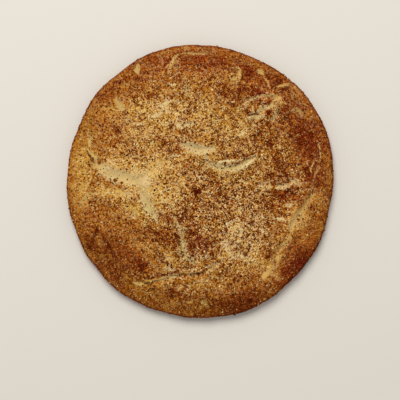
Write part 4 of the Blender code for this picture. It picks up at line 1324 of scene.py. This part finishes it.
class SNICKERDOODLE_OT_set_stage(bpy.types.Operator):
    """Lay the pale floor, and set up the soft light and the camera above the cookie"""

    bl_idname = "snickerdoodle.set_stage"
    bl_label = "Set stage"
    bl_options = {"REGISTER", "UNDO"}

    def execute(self, context):
        stage = context.scene.cookie_stage
        scene = context.scene
        scene.view_settings.view_transform = "Standard"
        self.lay_floor(stage)
        self.light(scene, stage)
        self.place_camera(scene, stage)
        return {"FINISHED"}

    def lay_floor(self, stage):
        """A wide, even floor of matt paper."""
        bpy.ops.mesh.primitive_plane_add(size=stage.floor_size)
        floor = bpy.context.object
        floor.name = "floor"
        desk = NodeDesk("floor_paper")
        desk.shader.inputs["Base Color"].default_value = stage.floor_colour
        desk.shader.inputs["Roughness"].default_value = 0.9
        desk.shader.inputs["Specular IOR Level"].default_value = 0.2
        floor.data.materials.append(desk.material)

    def light(self, scene, stage):
        """A broad soft light from beyond the cookie, and even light from all round."""
        world = bpy.data.worlds.new("room")
        world.use_nodes = True
        background = world.node_tree.nodes["Background"]
        background.inputs["Color"].default_value = stage.room_colour
        background.inputs["Strength"].default_value = stage.room_light
        scene.world = world
        window = bpy.data.lights.new("window", "AREA")
        window.shape = "DISK"
        window.size = stage.window_size
        window.energy = stage.window_power
        window.color = stage.window_colour[:3]
        lamp = bpy.data.objects.new("window", window)
        lamp.location = stage.window_place
        lamp.rotation_euler = (-Vector(lamp.location)).to_track_quat("-Z", "Y").to_euler()
        scene.collection.objects.link(lamp)

    def place_camera(self, scene, stage):
        """A camera that looks straight down, with +Y up in the view."""
        lens = bpy.data.cameras.new("camera")
        camera = bpy.data.objects.new("camera", lens)
        camera.location = (0.0, -stage.frame_shift, stage.camera_height)
        reach = stage.camera_height - WIDEST_HEIGHT * MM
        lens.angle = 2 * math.atan(0.5 * stage.frame_width / reach)
        lens.clip_start = 0.01
        scene.collection.objects.link(camera)
        scene.camera = camera


class SNICKERDOODLE_PT_panel(bpy.types.Panel):
    """Lists the cookie's sizes and colours and the steps that make it"""

    bl_idname = "SNICKERDOODLE_PT_panel"
    bl_label = "Snickerdoodle"
    bl_space_type = "VIEW_3D"
    bl_region_type = "UI"
    bl_category = "Snickerdoodle"

    def draw(self, context):
        for group in PROPERTY_GROUPS:
            settings = getattr(context.scene, group)
            box = self.layout.box()
            for name in type(settings).__annotations__:
                box.prop(settings, name)
        for operator in OPERATORS:
            self.layout.operator(operator.bl_idname)


PROPERTY_GROUPS = {
    "cookie_form": CookieForm,
    "cookie_colours": CookieColours,
    "cookie_grains": CookieGrains,
    "cookie_stage": CookieStage,
}

# In the order in which they run: the grains lie on the crust
OPERATORS = (
    SNICKERDOODLE_OT_bake_crust,
    SNICKERDOODLE_OT_scatter_cinnamon_sugar,
    SNICKERDOODLE_OT_scatter_pale_sugar,
    SNICKERDOODLE_OT_scatter_dark_specks,
    SNICKERDOODLE_OT_set_stage,
)


def register():
    for name, group in PROPERTY_GROUPS.items():
        bpy.utils.register_class(group)
        setattr(bpy.types.Scene, name, bpy.props.PointerProperty(type=group))
    for operator in OPERATORS:
        bpy.utils.register_class(operator)
    bpy.utils.register_class(SNICKERDOODLE_PT_panel)


def unregister():
    bpy.utils.unregister_class(SNICKERDOODLE_PT_panel)
    for operator in reversed(OPERATORS):
        bpy.utils.unregister_class(operator)
    for name, group in PROPERTY_GROUPS.items():
        delattr(bpy.types.Scene, name)
        bpy.utils.unregister_class(group)


def main():
    register()
    bpy.ops.snickerdoodle.bake_crust()
    bpy.ops.snickerdoodle.scatter_cinnamon_sugar()
    bpy.ops.snickerdoodle.scatter_pale_sugar()
    bpy.ops.snickerdoodle.scatter_dark_specks()
    bpy.ops.snickerdoodle.set_stage()


if __name__ == "__main__":
    main()
